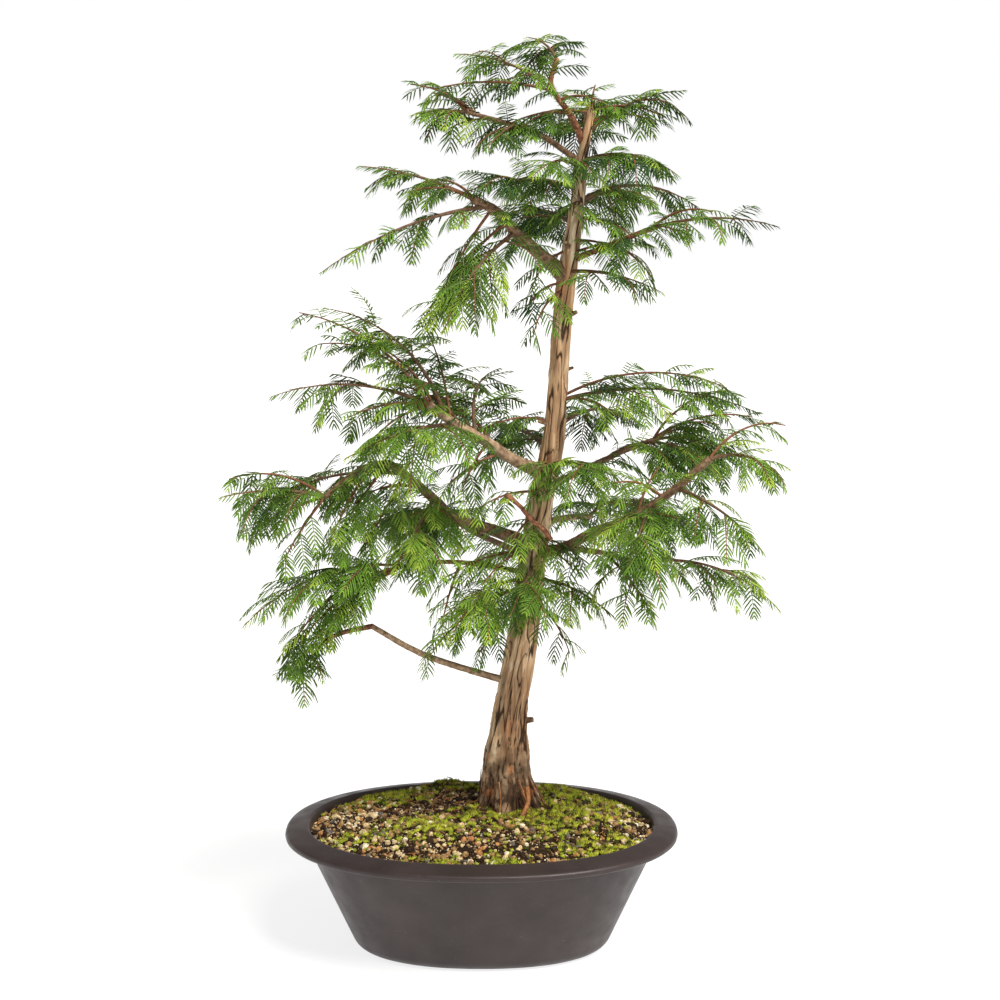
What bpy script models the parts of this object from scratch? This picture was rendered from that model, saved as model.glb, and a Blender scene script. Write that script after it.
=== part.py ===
"""A dawn redwood grown as a bonsai, in an oval training pot.

The origin is the middle of the pot's flat underside. +Z is up, +X runs along the pot, and the tree is
looked at from -Y. Sizes are in millimetres and angles in degrees: a heading of 0 points along +X and
one of 90 along +Y, and a rise is the angle above the horizon.
"""

import math
import random

import bmesh
import bpy
from mathutils import Quaternion, Vector
from mathutils.bvhtree import BVHTree

MM = 0.001
SEAT_GAP = 0.3
TIP_OVERLAP = 1
UP = Vector((0, 0, 1))
SHARP_FROM = 35

# The pot: an oval with a wide rim that slopes outwards, leaning walls and a rounded foot.
POT_LENGTH = 355
POT_WIDTH = 276
POT_HEIGHT = 114
POT_SIDES = 36
OVAL_POWER = 2.2
RIM_OVERHANG = 17
RIM_WIDTH = 21
RIM_THICKNESS = 6
RIM_SLOPE = 4
WALL_THICKNESS = 4
WALL_LEAN = 0.45
FOOT_INSET = 64
FOOT_ROUNDING = 16
FLOOR_THICKNESS = 5
DRAIN_RADIUS = 9
DRAIN_SPACING = 110

# The soil: it fills the pot and rises to a small plateau that the trunk stands on. Moss and stones heap
# it up in places: x, y, half width and height of each heap.
SOIL_EDGE_HEIGHT = 106.5
GROUND = 123
PLATEAU_RADIUS = 40
SOIL_RELIEF = 2.2
SOIL_RING_SHARES = (0.12, 0.34, 0.64, 1)
SOIL_HEAPS = (
    (-38, 102, 27, 9), (72, 92, 28, 5), (-92, 56, 30, 5), (-62, -46, 27, 5), (24, -88, 30, 5), (104, -28, 28, 5),
    (-128, -10, 26, 5),
)

# The trunk: height above the ground, lean along +X and radius, up to the pruned stub.
TRUNK_LINE = (
    (0, 26, 27), (28, 22, 24), (57, 23, 19.5), (85, 25, 16), (121, 31, 15.3), (163, 38, 14),
    (257, 49, 12.2), (300, 56, 11.4), (328, 63, 10.3), (356, 66, 9.5), (430, 70, 8.8),
    (485, 75, 8.8), (529, 82, 6.8), (587, 88, 5.4), (615, 93, 4.4), (631, 97, 3.4),
)
TRUNK_SET_BACK = 18
TRUNK_SIDES = 12
TRUNK_RINGS = 20
FLARE_HEIGHT = 20
ROOT_LOBES = ((3, 0.10, 40), (5, 0.13, 115))

# The stem of a mass: woody over the first part of its reach, a spray over the rest.
STEM_STEPS = 12
STEM_SIDES = 4
STEM_ROOT = 2.4
STEM_TIP = 1.2
STEM_STATIONS = (0, 0.2, 0.4, 0.6)
END_SPRAY_FROM = 0.54

# The sprays: each stands for several real ones, so they are a little larger than life.
SPRAY_LONGEST = 108
SPRAY_HALF_WIDTH = 32
SPRAY_RIB = 1.5
SPRAY_PROPORTION = 0.38
THREE_TEETH_FROM = 98
STALK = 7
NOTCH_DEPTH = 0.7
TOOTH_SLANT = 22
TOOTH_SLANT_GAIN = 26
TOOTH_DROOP = 0.12
END_TEETH = 3
END_PROPORTION = 0.55
END_ROLLS = (0.6, -0.6, 0.3, -0.3, 0)

# Where the side sprays leave the stem, as shares of its reach, and how they point.
SPRAYS_FROM = 0.12
SPRAYS_OVER = 0.46
LEVEL_TURN = 95
HANGING_TURN = 155
TURN_SPREAD = 12
FIRST_ANGLE = 62
ANGLE_FALL = 16
ANGLE_SPREAD = 5
DROOPS = (50, 80)
ROLLS = (0.3, 1.0)
MOST_SWING = 0.35
TRIES = 4
SHORTER = (1.0, 0.85, 0.7)

# The room that a spray keeps from other sprays and from limbs, and how far two masses may mingle.
SPRAY_CLEARANCE = 0.5
LIMB_CLEARANCE = 1.0
SHARED_BORDER = 14


# name, parent, where it leaves it (height on the trunk, or share of the parent's length),
# legs of (length, heading, rise), radius at the root and at the tip
BOUGHS = (
    ("bough_low_left", "trunk", 115, ((44, 193, 19), (39, 193, 21), (28, 194, 28), (34, 196, 33)),
     3.3, 2.5),
    ("bough_low_left_tip", "bough_low_left", 1, ((22, 196, -8), (19, 193, -19), (16, 200, -44)), 2.4, 1.8),
    ("bough_left_twig", "trunk", 217, ((60, 198, 12), (34, 201, 5), (27, 202, -4)), 2.5, 1.7),
    ("bough_mid_left", "trunk", 242, ((43, 161, 17), (34, 198, 19), (34, 215, 40), (28, 222, 37),
                                      (30, 216, 33), (28, 208, -9), (38, 203, -34)), 6.0, 2.6),
    ("bough_up_left", "trunk", 307, ((38, 210, 24), (31, 215, 32), (38, 216, 28), (33, 213, 34)), 5.6, 3.6),
    ("bough_right_low", "trunk", 235, ((36, 321, 15), (36, 321, 28), (42, 329, 23), (43, 335, 35),
                                       (43, 342, 42)), 5.0, 3.2),
    ("bough_right_low_side", "bough_right_low", 0.2, ((36, 347, -6), (35, 336, -11)), 2.8, 2.0),
    ("bough_right_mid", "trunk", 293, ((50, 37, 17), (47, 34, 17), (36, 35, 13)), 3.4, 2.2),
    ("bough_high_left", "trunk", 481, ((35, 207, 38), (28, 207, 37), (26, 212, 43), (25, 206, 25)),
     6.0, 3.8),
    ("bough_high_right", "trunk", 495, ((36, 336, 20), (38, 339, 21), (8, 343, 18)), 2.8, 2.2),
    ("bough_top_left", "trunk", 579, ((46, 195, 32), (37, 196, 16), (29, 197, 14)), 2.8, 1.8),
    ("bough_leader", "trunk", 595, ((28, 207, 60), (30, 192, 55), (24, 42, 72)), 3.0, 2.0),
    ("bough_back_left", "trunk", 231, ((60, 118, 3), (60, 123, 6)), 3.6, 2.4),
    ("bough_back_right", "trunk", 261, ((50, 58, 0), (48, 58, -6)), 3.4, 2.4),
)

# name, parent, where it leaves it, heading, turn, rise, droop, reach, spread, side sprays.
# Turn and droop are how far the stem bends over its reach; spread is the half width of the mass.
FOLIAGE = (
    ("foliage_low_left", "bough_low_left_tip", 1, 218, -27, -36, 0, 32, 28, 3),
    ("foliage_left_drop", "bough_left_twig", 1, 198, -8, 10, 56, 154, 56, 7),
    ("foliage_left_hanging", "trunk", 210, 225, 0, 16, 76, 116, 48, 5),
    ("foliage_centre_front", "trunk", 221, 272, -30, 16, 62, 104, 50, 5),
    ("foliage_centre_low", "trunk", 212, 312, 20, 10, 48, 98, 44, 4),
    ("foliage_right_drop", "bough_right_low_side", 1, 349, 3, 14, 62, 132, 50, 5),
    ("foliage_right_drop_inner", "bough_right_low_side", 0.5, 290, 40, -8, 60, 92, 44, 4),
    ("foliage_back_left", "bough_back_left", 1, 134, 3, 23, 56, 142, 62, 5),
    ("foliage_back_right", "bough_back_right", 1, 63, -18, 21, 58, 134, 60, 4),
    ("foliage_left_far", "bough_mid_left", 1, 196, -8, 17, 31, 88, 56, 5),
    ("foliage_left_shelf", "bough_mid_left", 0.62, 176, 8, 8, 42, 136, 56, 4),
    ("foliage_left_inner", "bough_mid_left", 0.42, 262, -30, -11, 42, 100, 52, 5),
    ("foliage_left_near", "bough_mid_left", 0.24, 222, -10, 14, 70, 88, 50, 5),
    ("foliage_up_left_outer", "bough_up_left", 1, 176, 1, 26, 46, 138, 60, 6),
    ("foliage_up_left_top", "bough_up_left", 0.86, 158, 8, 73, 66, 148, 54, 6),
    ("foliage_up_left_low", "bough_up_left", 0.74, 232, -48, 8, 40, 112, 50, 4),
    ("foliage_up_left_inner", "bough_up_left", 0.6, 110, -70, 70, 60, 88, 44, 5),
    ("foliage_centre_mid", "trunk", 313, 297, 34, 26, 67, 98, 48, 4),
    ("foliage_right_top", "trunk", 372, 11, -7, 16, 40, 188, 56, 6),
    ("foliage_right_outer", "bough_right_low", 1, 2, 0, 22, 78, 71, 48, 4),
    ("foliage_right_outer_low", "bough_right_low", 0.82, 316, 40, -10, 44, 96, 46, 4),
    ("foliage_right_inner", "bough_right_low", 0.66, 272, -47, 5, 76, 92, 52, 5),
    ("foliage_right_back", "bough_right_mid", 1, 28, -20, 9, 45, 106, 56, 4),
    ("foliage_right_middle", "bough_right_mid", 0.5, 345, -10, 40, 90, 116, 50, 4),
    ("foliage_back_mid", "trunk", 325, 112, 14, 22, 46, 180, 60, 4),
    ("foliage_back_upper", "trunk", 345, 62, -10, 22, 50, 165, 56, 4),
    ("foliage_high_left_outer", "bough_high_left", 1, 188, -4, 28, 24, 100, 42, 4),
    ("foliage_high_left_long", "bough_high_left", 0.84, 216, -33, -4, 32, 160, 28, 4),
    ("foliage_high_left_under", "bough_high_left", 0.5, 238, -31, -16, 55, 122, 52, 5),
    ("foliage_high_left_inner", "trunk", 556, 215, -20, 20, 46, 118, 46, 5),
    ("foliage_high_right_outer", "bough_high_right", 1, 345, 8, 18, 34, 106, 40, 5),
    ("foliage_high_right_low", "trunk", 485, 310, 33, 8, 34, 98, 40, 4),
    ("foliage_high_right_mid", "trunk", 545, 352, 8, 34, 80, 122, 46, 5),
    ("foliage_high_back_left", "trunk", 525, 117, 6, 22, 39, 146, 48, 4),
    ("foliage_high_back_right", "trunk", 541, 58, -6, 24, 44, 138, 46, 4),
    ("foliage_top_left", "bough_top_left", 1, 198, -15, 8, 20, 42, 34, 3),
    ("foliage_top_left_low", "bough_top_left", 0.5, 262, -40, 5, 50, 66, 34, 3),
    ("foliage_crown_left", "bough_leader", 0.6, 190, -4, 40, 40, 90, 42, 5),
    ("foliage_top", "bough_leader", 1, 120, 20, 50, 40, 44, 46, 5),
    ("foliage_top_right", "trunk", 603, 352, 5, 46, 44, 92, 40, 4),
    ("foliage_crown_right", "trunk", 580, 335, 12, 22, 60, 90, 42, 4),
    ("foliage_crown_back", "trunk", 594, 88, -8, 52, 60, 104, 44, 4),
    ("foliage_crown_front", "trunk", 572, 248, -14, 24, 56, 92, 46, 4),
)


def clear_scene():
    for obj in list(bpy.data.objects):
        bpy.data.objects.remove(obj)


def material(name, colour, roughness):
    made = bpy.data.materials.new(name)
    made.use_nodes = True
    shader = made.node_tree.nodes["Principled BSDF"]
    shader.inputs["Base Color"].default_value = (*colour, 1)
    shader.inputs["Roughness"].default_value = roughness
    shader.inputs["Metallic"].default_value = 0
    return made


def solid(name, points, faces, finish, rounded=True):
    """A new object from points in millimetres, with its faces turned outwards."""
    work = bmesh.new()
    corners = [work.verts.new(Vector(p) * MM) for p in points]
    for face in faces:
        work.faces.new([corners[i] for i in face])
    bmesh.ops.recalc_face_normals(work, faces=work.faces)
    if work.calc_volume(signed=True) < 0:
        bmesh.ops.reverse_faces(work, faces=work.faces)
    mesh = bpy.data.meshes.new(name)
    work.to_mesh(mesh)
    work.free()
    if rounded:
        mesh.shade_smooth()
        mesh.set_sharp_from_angle(angle=math.radians(SHARP_FROM))
    obj = bpy.data.objects.new(name, mesh)
    mesh.materials.append(finish)
    bpy.context.scene.collection.objects.link(obj)
    return obj


def hide(obj):
    obj.hide_render = True
    obj.display_type = "WIRE"


def stack(rings):
    """Points and faces of a closed skin through rings of equal length, with flat ends."""
    count = len(rings[0])
    points = [p for ring in rings for p in ring]
    faces = [list(range(count))[::-1], [len(points) - count + i for i in range(count)]]
    for level in range(len(rings) - 1):
        for i in range(count):
            j = (i + 1) % count
            low, high = level * count, (level + 1) * count
            faces.append([low + i, low + j, high + j, high + i])
    return points, faces


def direction(heading, rise):
    h, r = math.radians(heading), math.radians(rise)
    return Vector((math.cos(h) * math.cos(r), math.sin(h) * math.cos(r), math.sin(r)))


def smooth(points, steps):
    """A Catmull-Rom curve through the points, with this many steps to a span."""
    ends = [points[0] * 2 - points[1], *points, points[-1] * 2 - points[-2]]
    line = []
    for a, b, c, d in zip(ends, ends[1:], ends[2:], ends[3:]):
        for i in range(steps):
            t = i / steps
            line.append(0.5 * (2 * b + (c - a) * t + (2 * a - 5 * b + 4 * c - d) * t * t
                               + (3 * b - a - 3 * c + d) * t ** 3))
    return [*line, points[-1].copy()]


def bent(start, heading, turn, rise, droop, reach, steps):
    """A line that leaves start and bends evenly, by turn sideways and by droop downwards."""
    line = [start.copy()]
    for i in range(steps):
        share = (i + 0.5) / steps
        line.append(line[-1] + direction(heading + turn * share, rise - droop * share) * reach / steps)
    return line


def point_at(line, share):
    place = share * (len(line) - 1)
    i = min(int(place), len(line) - 2)
    return line[i].lerp(line[i + 1], place - i)


def tangent_at(line, i):
    return (line[min(i + 1, len(line) - 1)] - line[max(i - 1, 0)]).normalized()


def tube_rings(line, radii, sides):
    """Round sections along a line, each turned as little as can be from the last."""
    across = tangent_at(line, 0).cross(UP)
    if across.length < 0.1:
        across = Vector((0, 1, 0))
    rings = []
    for i, (centre, radius) in enumerate(zip(line, radii)):
        along = tangent_at(line, i)
        across = (across - along * across.dot(along)).normalized()
        over = along.cross(across)
        turns = [2 * math.pi * k / sides for k in range(sides)]
        rings.append([centre + (across * math.cos(a) + over * math.sin(a)) * radius for a in turns])
    return rings


def tapering(first, last, count):
    return [first + (last - first) * i / (count - 1) for i in range(count)]


# The pot and its soil

def oval(inset, z):
    """One ring of the pot, this far in from the rim's outer edge."""
    length, width = POT_LENGTH / 2 - inset, POT_WIDTH / 2 - inset
    ring = []
    for k in range(POT_SIDES):
        a = 2 * math.pi * k / POT_SIDES
        c, s = math.cos(a), math.sin(a)
        x = math.copysign(abs(c) ** (2 / OVAL_POWER), c) * length
        y = math.copysign(abs(s) ** (2 / OVAL_POWER), s) * width
        ring.append(Vector((x, y, z)))
    return ring


def wall_inset(z):
    return FOOT_INSET - WALL_LEAN * z


def foot_rings():
    """The flat underside's edge and the rounding that leads into the leaning wall."""
    end = math.pi / 2 - math.atan(WALL_LEAN)
    z_end = FOOT_ROUNDING * (1 - math.cos(end))
    middle = wall_inset(z_end) + FOOT_ROUNDING * math.sin(end)
    angles = [end * k / 3 for k in range(4)]
    return [oval(middle - FOOT_ROUNDING * math.sin(a), FOOT_ROUNDING * (1 - math.cos(a))) for a in angles]


def make_pot(finish):
    under_rim = POT_HEIGHT - RIM_SLOPE - RIM_THICKNESS
    inner_low = FLOOR_THICKNESS + FOOT_ROUNDING / 2
    rings = foot_rings()
    rings += [
        oval(RIM_OVERHANG, under_rim),
        oval(1, under_rim),
        oval(0, under_rim + RIM_THICKNESS / 2),
        oval(1.5, POT_HEIGHT - RIM_SLOPE),
        oval(RIM_WIDTH - 1.5, POT_HEIGHT),
        oval(RIM_WIDTH, POT_HEIGHT - 2),
        oval(wall_inset(inner_low) + WALL_THICKNESS, inner_low),
        oval(FOOT_INSET + FOOT_ROUNDING / 2 + WALL_THICKNESS, FLOOR_THICKNESS),
    ]
    pot = solid("pot", *stack(rings), finish)
    for side in (-1, 1):
        middle = Vector((side * DRAIN_SPACING / 2, 0, FLOOR_THICKNESS / 2))
        turns = [2 * math.pi * k / 12 for k in range(12)]
        ring = [Vector((math.cos(a), math.sin(a), 0)) * DRAIN_RADIUS + middle for a in turns]
        levels = [[p + UP * lift for p in ring] for lift in (-FLOOR_THICKNESS, FLOOR_THICKNESS)]
        cutter = solid("drain_cutter", *stack(levels), finish)
        hide(cutter)
        cut = pot.modifiers.new("drain", "BOOLEAN")
        cut.operation = "DIFFERENCE"
        cut.object = cutter
    return pot


def heaped(p):
    """How far the heaps lift the soil at a place."""
    return sum(high * math.exp(-((p.x - x) ** 2 + (p.y - y) ** 2) / wide ** 2)
               for x, y, wide, high in SOIL_HEAPS)


def make_soil(finish):
    """The filling, a gap's width inside the pot, with a mounded top."""
    draw = random.Random(7)
    foot = Vector((TRUNK_LINE[0][1], TRUNK_SET_BACK, 0))
    inner_low = FLOOR_THICKNESS + FOOT_ROUNDING / 2
    floor_inset = FOOT_INSET + FOOT_ROUNDING / 2 + WALL_THICKNESS + SEAT_GAP
    edge_inset = RIM_WIDTH + (POT_HEIGHT - 2 - SOIL_EDGE_HEIGHT) * WALL_LEAN + 2 * SEAT_GAP
    edge = oval(edge_inset, SOIL_EDGE_HEIGHT)
    rings = [
        oval(floor_inset, FLOOR_THICKNESS + SEAT_GAP),
        oval(wall_inset(inner_low) + WALL_THICKNESS + 2 * SEAT_GAP, inner_low + SEAT_GAP),
        edge,
    ]
    for share in SOIL_RING_SHARES:
        level = SOIL_EDGE_HEIGHT + (GROUND - SOIL_EDGE_HEIGHT) * math.sin(share * math.pi / 2)
        ring = []
        for p in edge:
            middle = foot + (p - foot).to_2d().normalized().to_3d() * PLATEAU_RADIUS
            q = p.lerp(middle, share)
            relief = 0 if share == 1 else draw.uniform(-1, 1) * SOIL_RELIEF + heaped(q)
            ring.append(Vector((q.x, q.y, level + relief)))
        rings.append(ring)
    return solid("soil", *stack(rings), finish)


# The trunk and its boughs

def trunk_axis(height):
    """Centre and radius of the trunk at a height above the ground."""
    rows = TRUNK_LINE
    above = next((i for i, row in enumerate(rows) if row[0] >= height), len(rows) - 1)
    above = max(above, 1)
    low, high = rows[above - 1], rows[above]
    share = (height - low[0]) / (high[0] - low[0])
    lean = low[1] + (high[1] - low[1]) * share
    radius = low[2] + (high[2] - low[2]) * share
    back = TRUNK_SET_BACK * (1 - height / rows[-1][0])
    return Vector((lean, back, GROUND + SEAT_GAP + height)), radius


def trunk_rings(extra=0):
    """Level rings up the trunk, grown by extra, with the root flare's lobes at the foot."""
    top = TRUNK_LINE[-1][0]
    rings = []
    for i in range(TRUNK_RINGS):
        share = i / (TRUNK_RINGS - 1)
        height = top * share ** 1.25
        centre, radius = trunk_axis(height)
        if extra and i in (0, TRUNK_RINGS - 1):
            centre += UP * (extra if i else -extra)
        flare = math.exp(-height / FLARE_HEIGHT)
        ring = []
        for k in range(TRUNK_SIDES):
            a = 2 * math.pi * k / TRUNK_SIDES
            swell = sum(size * math.cos(n * a + math.radians(phase)) for n, size, phase in ROOT_LOBES)
            r = radius * (1 + flare * swell) + extra
            ring.append(centre + Vector((math.cos(a), math.sin(a), 0)) * r)
        rings.append(ring)
    return rings


def leave(limbs, parent, at):
    """Where a limb or a stem starts, just inside its parent."""
    if parent == "trunk":
        return trunk_axis(at)[0]
    line = limbs[parent]["line"]
    if at == 1:
        return line[-1] - tangent_at(line, len(line) - 1) * TIP_OVERLAP
    return point_at(line, at)


def seat(obj, parent, grown):
    """Cuts a limb's root to lie against its parent, a gap away."""
    cut = obj.modifiers.new("seat", "BOOLEAN")
    cut.operation = "DIFFERENCE"
    cut.object = grown[parent]


def grow_boughs(bark):
    """Makes the boughs. Returns their lines, and for each limb a hidden copy grown by the gap."""
    limbs = {}
    grown = {"trunk": solid("trunk_seat", *stack(trunk_rings(SEAT_GAP)), bark)}
    for name, parent, at, legs, root, tip in BOUGHS:
        ends = [leave(limbs, parent, at)]
        for length, heading, rise in legs:
            ends.append(ends[-1] + direction(heading, rise) * length)
        line = smooth(ends, 2)
        radii = tapering(root, tip, len(line))
        sides = 7 if root > 3.5 else 5
        bough = solid(name, *stack(tube_rings(line, radii, sides)), bark)
        seat(bough, parent, grown)
        limbs[name] = {"line": line, "radii": radii, "sides": sides}
        wider = [r + SEAT_GAP for r in radii]
        longer = [*line[:-1], line[-1] + tangent_at(line, len(line) - 1) * SEAT_GAP]
        grown[name] = solid(name + "_seat", *stack(tube_rings(longer, wider, sides)), bark)
    for cutter in grown.values():
        hide(cutter)
    return limbs, grown


# The foliage

def spray(rib, half_width, roll, thickness):
    """A toothed blade along a rib: a bare stalk, then pairs of pointed teeth, ridged on both faces."""
    teeth = len(rib) - 3
    flat = rib[-1] - rib[0]
    level = Vector((flat.y, -flat.x, 0)).normalized()
    points, faces, sections = [], [], []
    for i, centre in enumerate(rib[:-1]):
        along = tangent_at(rib, i)
        side = level * math.cos(roll) + level.cross(along) * math.sin(roll)
        over = side.cross(along)
        share = max(i - 1, 0) / teeth
        thick = thickness * (1 - 0.6 * share)
        notch = max(thick, half_width * NOTCH_DEPTH * math.sin(math.pi * min(share * 1.2, 0.92)))
        slant = math.radians(TOOTH_SLANT + TOOTH_SLANT_GAIN * share)
        across, ahead = side * math.cos(slant) * notch, along * math.sin(slant) * notch
        sections.append((along, side, over))
        points += [centre + over * thick, centre + across + ahead]
        points += [centre - over * thick, centre - across + ahead]
    for k in range(4):
        faces.append([k, (k + 1) % 4, 4 + (k + 1) % 4, 4 + k])
    for i in range(1, teeth + 1):
        along, side, over = sections[i]
        share = (i - 0.5) / teeth
        reach = half_width * (0.72 + 1.0 * share - 1.15 * share * share)
        slant = math.radians(TOOTH_SLANT + TOOTH_SLANT_GAIN * share)
        middle = rib[i].lerp(rib[i + 1], 0.45)
        for sign, right in ((1, 1), (-1, 3)):
            outwards = side * sign * math.cos(slant) + along * math.sin(slant) - over * TOOTH_DROOP
            tip = middle + outwards * reach
            points.append(tip)
            p, a, b = len(points) - 1, 4 * i, 4 * i + 4
            faces += [[a, a + right, p], [a, p, b], [b, p, b + right],
                      [a + 2, p, a + right], [a + 2, b + 2, p], [b + 2, b + right, p]]
    points.append(rib[-1])
    end, last = len(points) - 1, 4 * teeth + 4
    faces += [[last + k, last + (k + 1) % 4, end] for k in range(4)]
    faces.append([3, 2, 1, 0])
    return points, faces


def spray_rib(start, ahead, length, droop, teeth):
    """The rib of a spray: a straight stalk along ahead, then a line that bends down to its tip."""
    heading = math.degrees(math.atan2(ahead.y, ahead.x))
    rise = math.degrees(math.asin(max(-1, min(1, ahead.z))))
    foot = start + ahead * STALK
    return [start, *bent(foot, heading, 0, rise, min(droop, rise + 80), length - STALK, teeth + 1)]


def stem_samples(stems):
    return {name: [point_at(stem["axis"], k / 10) for k in range(11)] for name, stem in stems.items()}


def keeps_to_space(name, points, samples):
    """True if no point is nearer to another mass's stem than to its own by more than the shared border."""
    for p in points:
        own = min((p - q).length for q in samples[name]) - SHARED_BORDER
        if any((p - q).length < own for other, line in samples.items() if other != name for q in line):
            return False
    return True


def tree_of(points, faces):
    return BVHTree.FromPolygons([p * MM for p in points], faces)


def tree_of_limbs(limbs):
    """One search tree over every limb, each grown by the clearance that sprays keep."""
    points, faces = stack(trunk_rings(LIMB_CLEARANCE))
    for limb in limbs.values():
        wider = [r + LIMB_CLEARANCE for r in limb["radii"]]
        more, skins = stack(tube_rings(limb["line"], wider, limb["sides"]))
        faces += [[i + len(points) for i in skin] for skin in skins]
        points += more
    return tree_of(points, faces)


def on_wood(wood, share):
    """The point of a stem at this share of its mass's reach, and the way that the stem runs there."""
    i = max(k for k, station in enumerate(STEM_STATIONS[:-1]) if station <= share)
    part = (share - STEM_STATIONS[i]) / (STEM_STATIONS[i + 1] - STEM_STATIONS[i])
    return wood[i].lerp(wood[i + 1], part), (wood[i + 1] - wood[i]).normalized()


def side_sprays(stem, draw):
    """Starts, directions, lengths and droops of a mass's side sprays. Each third one hangs."""
    count, spread = stem["count"], stem["spread"]
    for i in range(count):
        place, along = on_wood(stem["wood"], SPRAYS_FROM + SPRAYS_OVER * (i + 0.5) / count)
        side = along.cross(UP).normalized()
        over = side.cross(along)
        turn = HANGING_TURN if i % 3 == 2 else LEVEL_TURN
        turn = math.radians(turn + draw.uniform(-TURN_SPREAD, TURN_SPREAD)) * (1 if i % 2 else -1)
        angle = FIRST_ANGLE - ANGLE_FALL * i / count + draw.uniform(-ANGLE_SPREAD, ANGLE_SPREAD)
        angle = math.radians(angle)
        out = side * math.sin(turn) + over * math.cos(turn)
        ahead = along * math.cos(angle) + out * math.sin(angle)
        length = min(spread / math.sin(angle) * draw.uniform(1.02, 1.2), SPRAY_LONGEST)
        yield place, ahead, length, draw.uniform(*DROOPS)


def join(name, pieces):
    """Unites a mass's stem and sprays into one closed body."""
    stem, sprays = pieces[0], pieces[1:]
    group = bpy.data.collections.new(name + "_sprays")
    bpy.context.scene.collection.children.link(group)
    for piece in sprays:
        bpy.context.scene.collection.objects.unlink(piece)
        group.objects.link(piece)
    union = stem.modifiers.new("join", "BOOLEAN")
    union.operation = "UNION"
    union.operand_type = "COLLECTION"
    union.collection = group
    union.solver = "MANIFOLD"
    graph = bpy.context.evaluated_depsgraph_get()
    joined = bpy.data.meshes.new_from_object(stem.evaluated_get(graph))
    for piece in sprays:
        bpy.data.objects.remove(piece)
    bpy.data.collections.remove(group)
    stem.modifiers.clear()
    stem.data = joined
    return stem


def is_clear(name, points, faces, samples, limbs, others):
    """True if a spray keeps to its own mass's space, off the other sprays and off the limbs."""
    if not keeps_to_space(name, points[8::2], samples):
        return False
    if tree_of(points, faces).overlap(limbs):
        return False
    blade = tree_of(points, [face for face in faces if min(face) > 3])
    return not any(blade.overlap(other) for other in others)


def fit_side_spray(name, leaving, draw, samples, limbs, others):
    """The largest side spray that is clear, or nothing."""
    start, ahead, length, droop = leaving
    tries = []
    for _ in range(TRIES):
        roll = draw.choice((-1, 1)) * draw.uniform(*ROLLS)
        tries.append((roll, draw.uniform(-MOST_SWING, MOST_SWING)))
    for share in SHORTER:
        size = length * share
        teeth = 3 if size > THREE_TEETH_FROM else 2
        width = min(SPRAY_HALF_WIDTH, SPRAY_PROPORTION * size)
        for roll, swing in tries:
            turned = ahead.copy()
            turned.rotate(Quaternion(UP, swing))
            rib = spray_rib(start, turned, size, droop, teeth)
            wider = spray(rib, width + SPRAY_CLEARANCE, roll, SPRAY_RIB + SPRAY_CLEARANCE)
            if is_clear(name, *wider, samples, limbs, others):
                return spray(rib, width, roll, SPRAY_RIB)
    return None


def end_spray(name, stem, samples, limbs, others):
    """The spray that ends a mass's stem, rolled to where it is clear."""
    shares = tapering(END_SPRAY_FROM, 1, END_TEETH + 3)
    rib = [point_at(stem["axis"], share) for share in shares]
    width = min(SPRAY_HALF_WIDTH, END_PROPORTION * stem["spread"])
    for share in SHORTER:
        for roll in END_ROLLS:
            wider = spray(rib, width * share + SPRAY_CLEARANCE, roll, SPRAY_RIB + SPRAY_CLEARANCE)
            if is_clear(name, *wider, samples, limbs, others):
                return spray(rib, width * share, roll, SPRAY_RIB)
    return spray(rib, width * SHORTER[-1], 0, SPRAY_RIB)


def grow_foliage(limbs, grown, green):
    stems = {}
    for name, parent, at, heading, turn, rise, droop, reach, spread, count in FOLIAGE:
        axis = bent(leave(limbs, parent, at), heading, turn, rise, droop, reach, STEM_STEPS)
        root = STEM_ROOT if parent == "trunk" else min(STEM_ROOT, limbs[parent]["radii"][-1] * 0.9)
        wood = [point_at(axis, share) for share in STEM_STATIONS]
        room = tree_of(*stack(tube_rings(wood, [root + LIMB_CLEARANCE] * len(wood), STEM_SIDES)))
        stems[name] = {"axis": axis, "wood": wood, "room": room, "spread": spread, "count": count}
        stem = solid(name, *stack(tube_rings(wood, tapering(root, STEM_TIP, len(wood)), STEM_SIDES)), green)
        seat(stem, parent, grown)
        stems[name]["pieces"] = [stem]
    samples = stem_samples(stems)
    wooden = tree_of_limbs(limbs)
    placed = []
    for name, stem in stems.items():
        rooms = [other["room"] for key, other in stems.items() if key != name]
        found = end_spray(name, stem, samples, wooden, rooms + placed)
        stem["pieces"].append(solid("spray", *found, green, rounded=False))
        placed.append(tree_of(*found))
    for seed, (name, stem) in enumerate(stems.items()):
        draw = random.Random(seed)
        rooms = [other["room"] for key, other in stems.items() if key != name]
        for leaving in side_sprays(stem, draw):
            found = fit_side_spray(name, leaving, draw, samples, wooden, rooms + placed)
            if found:
                stem["pieces"].append(solid("spray", *found, green, rounded=False))
                placed.append(tree_of(*found))
    for name, stem in stems.items():
        join(name, stem["pieces"])


def main():
    clear_scene()
    plastic = material("pot_plastic", (0.085, 0.072, 0.070), 0.5)
    earth = material("soil", (0.09, 0.065, 0.035), 0.95)
    bark = material("bark", (0.24, 0.15, 0.09), 0.85)
    green = material("needles", (0.10, 0.24, 0.04), 0.55)
    make_pot(plastic)
    make_soil(earth)
    solid("trunk", *stack(trunk_rings()), bark)
    limbs, grown = grow_boughs(bark)
    grow_foliage(limbs, grown, green)


main()
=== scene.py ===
"""A dawn redwood grown as a bonsai, standing in an oval training pot.

Sizes are in millimetres and become metres where a mesh is made. A heading of 0 points along +X and one
of 90 along +Y, and a rise is the angle above the horizon, both in degrees.
"""

import random
from math import asin, atan, atan2, copysign, cos, degrees, exp, pi, radians, sin, tanh

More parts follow.
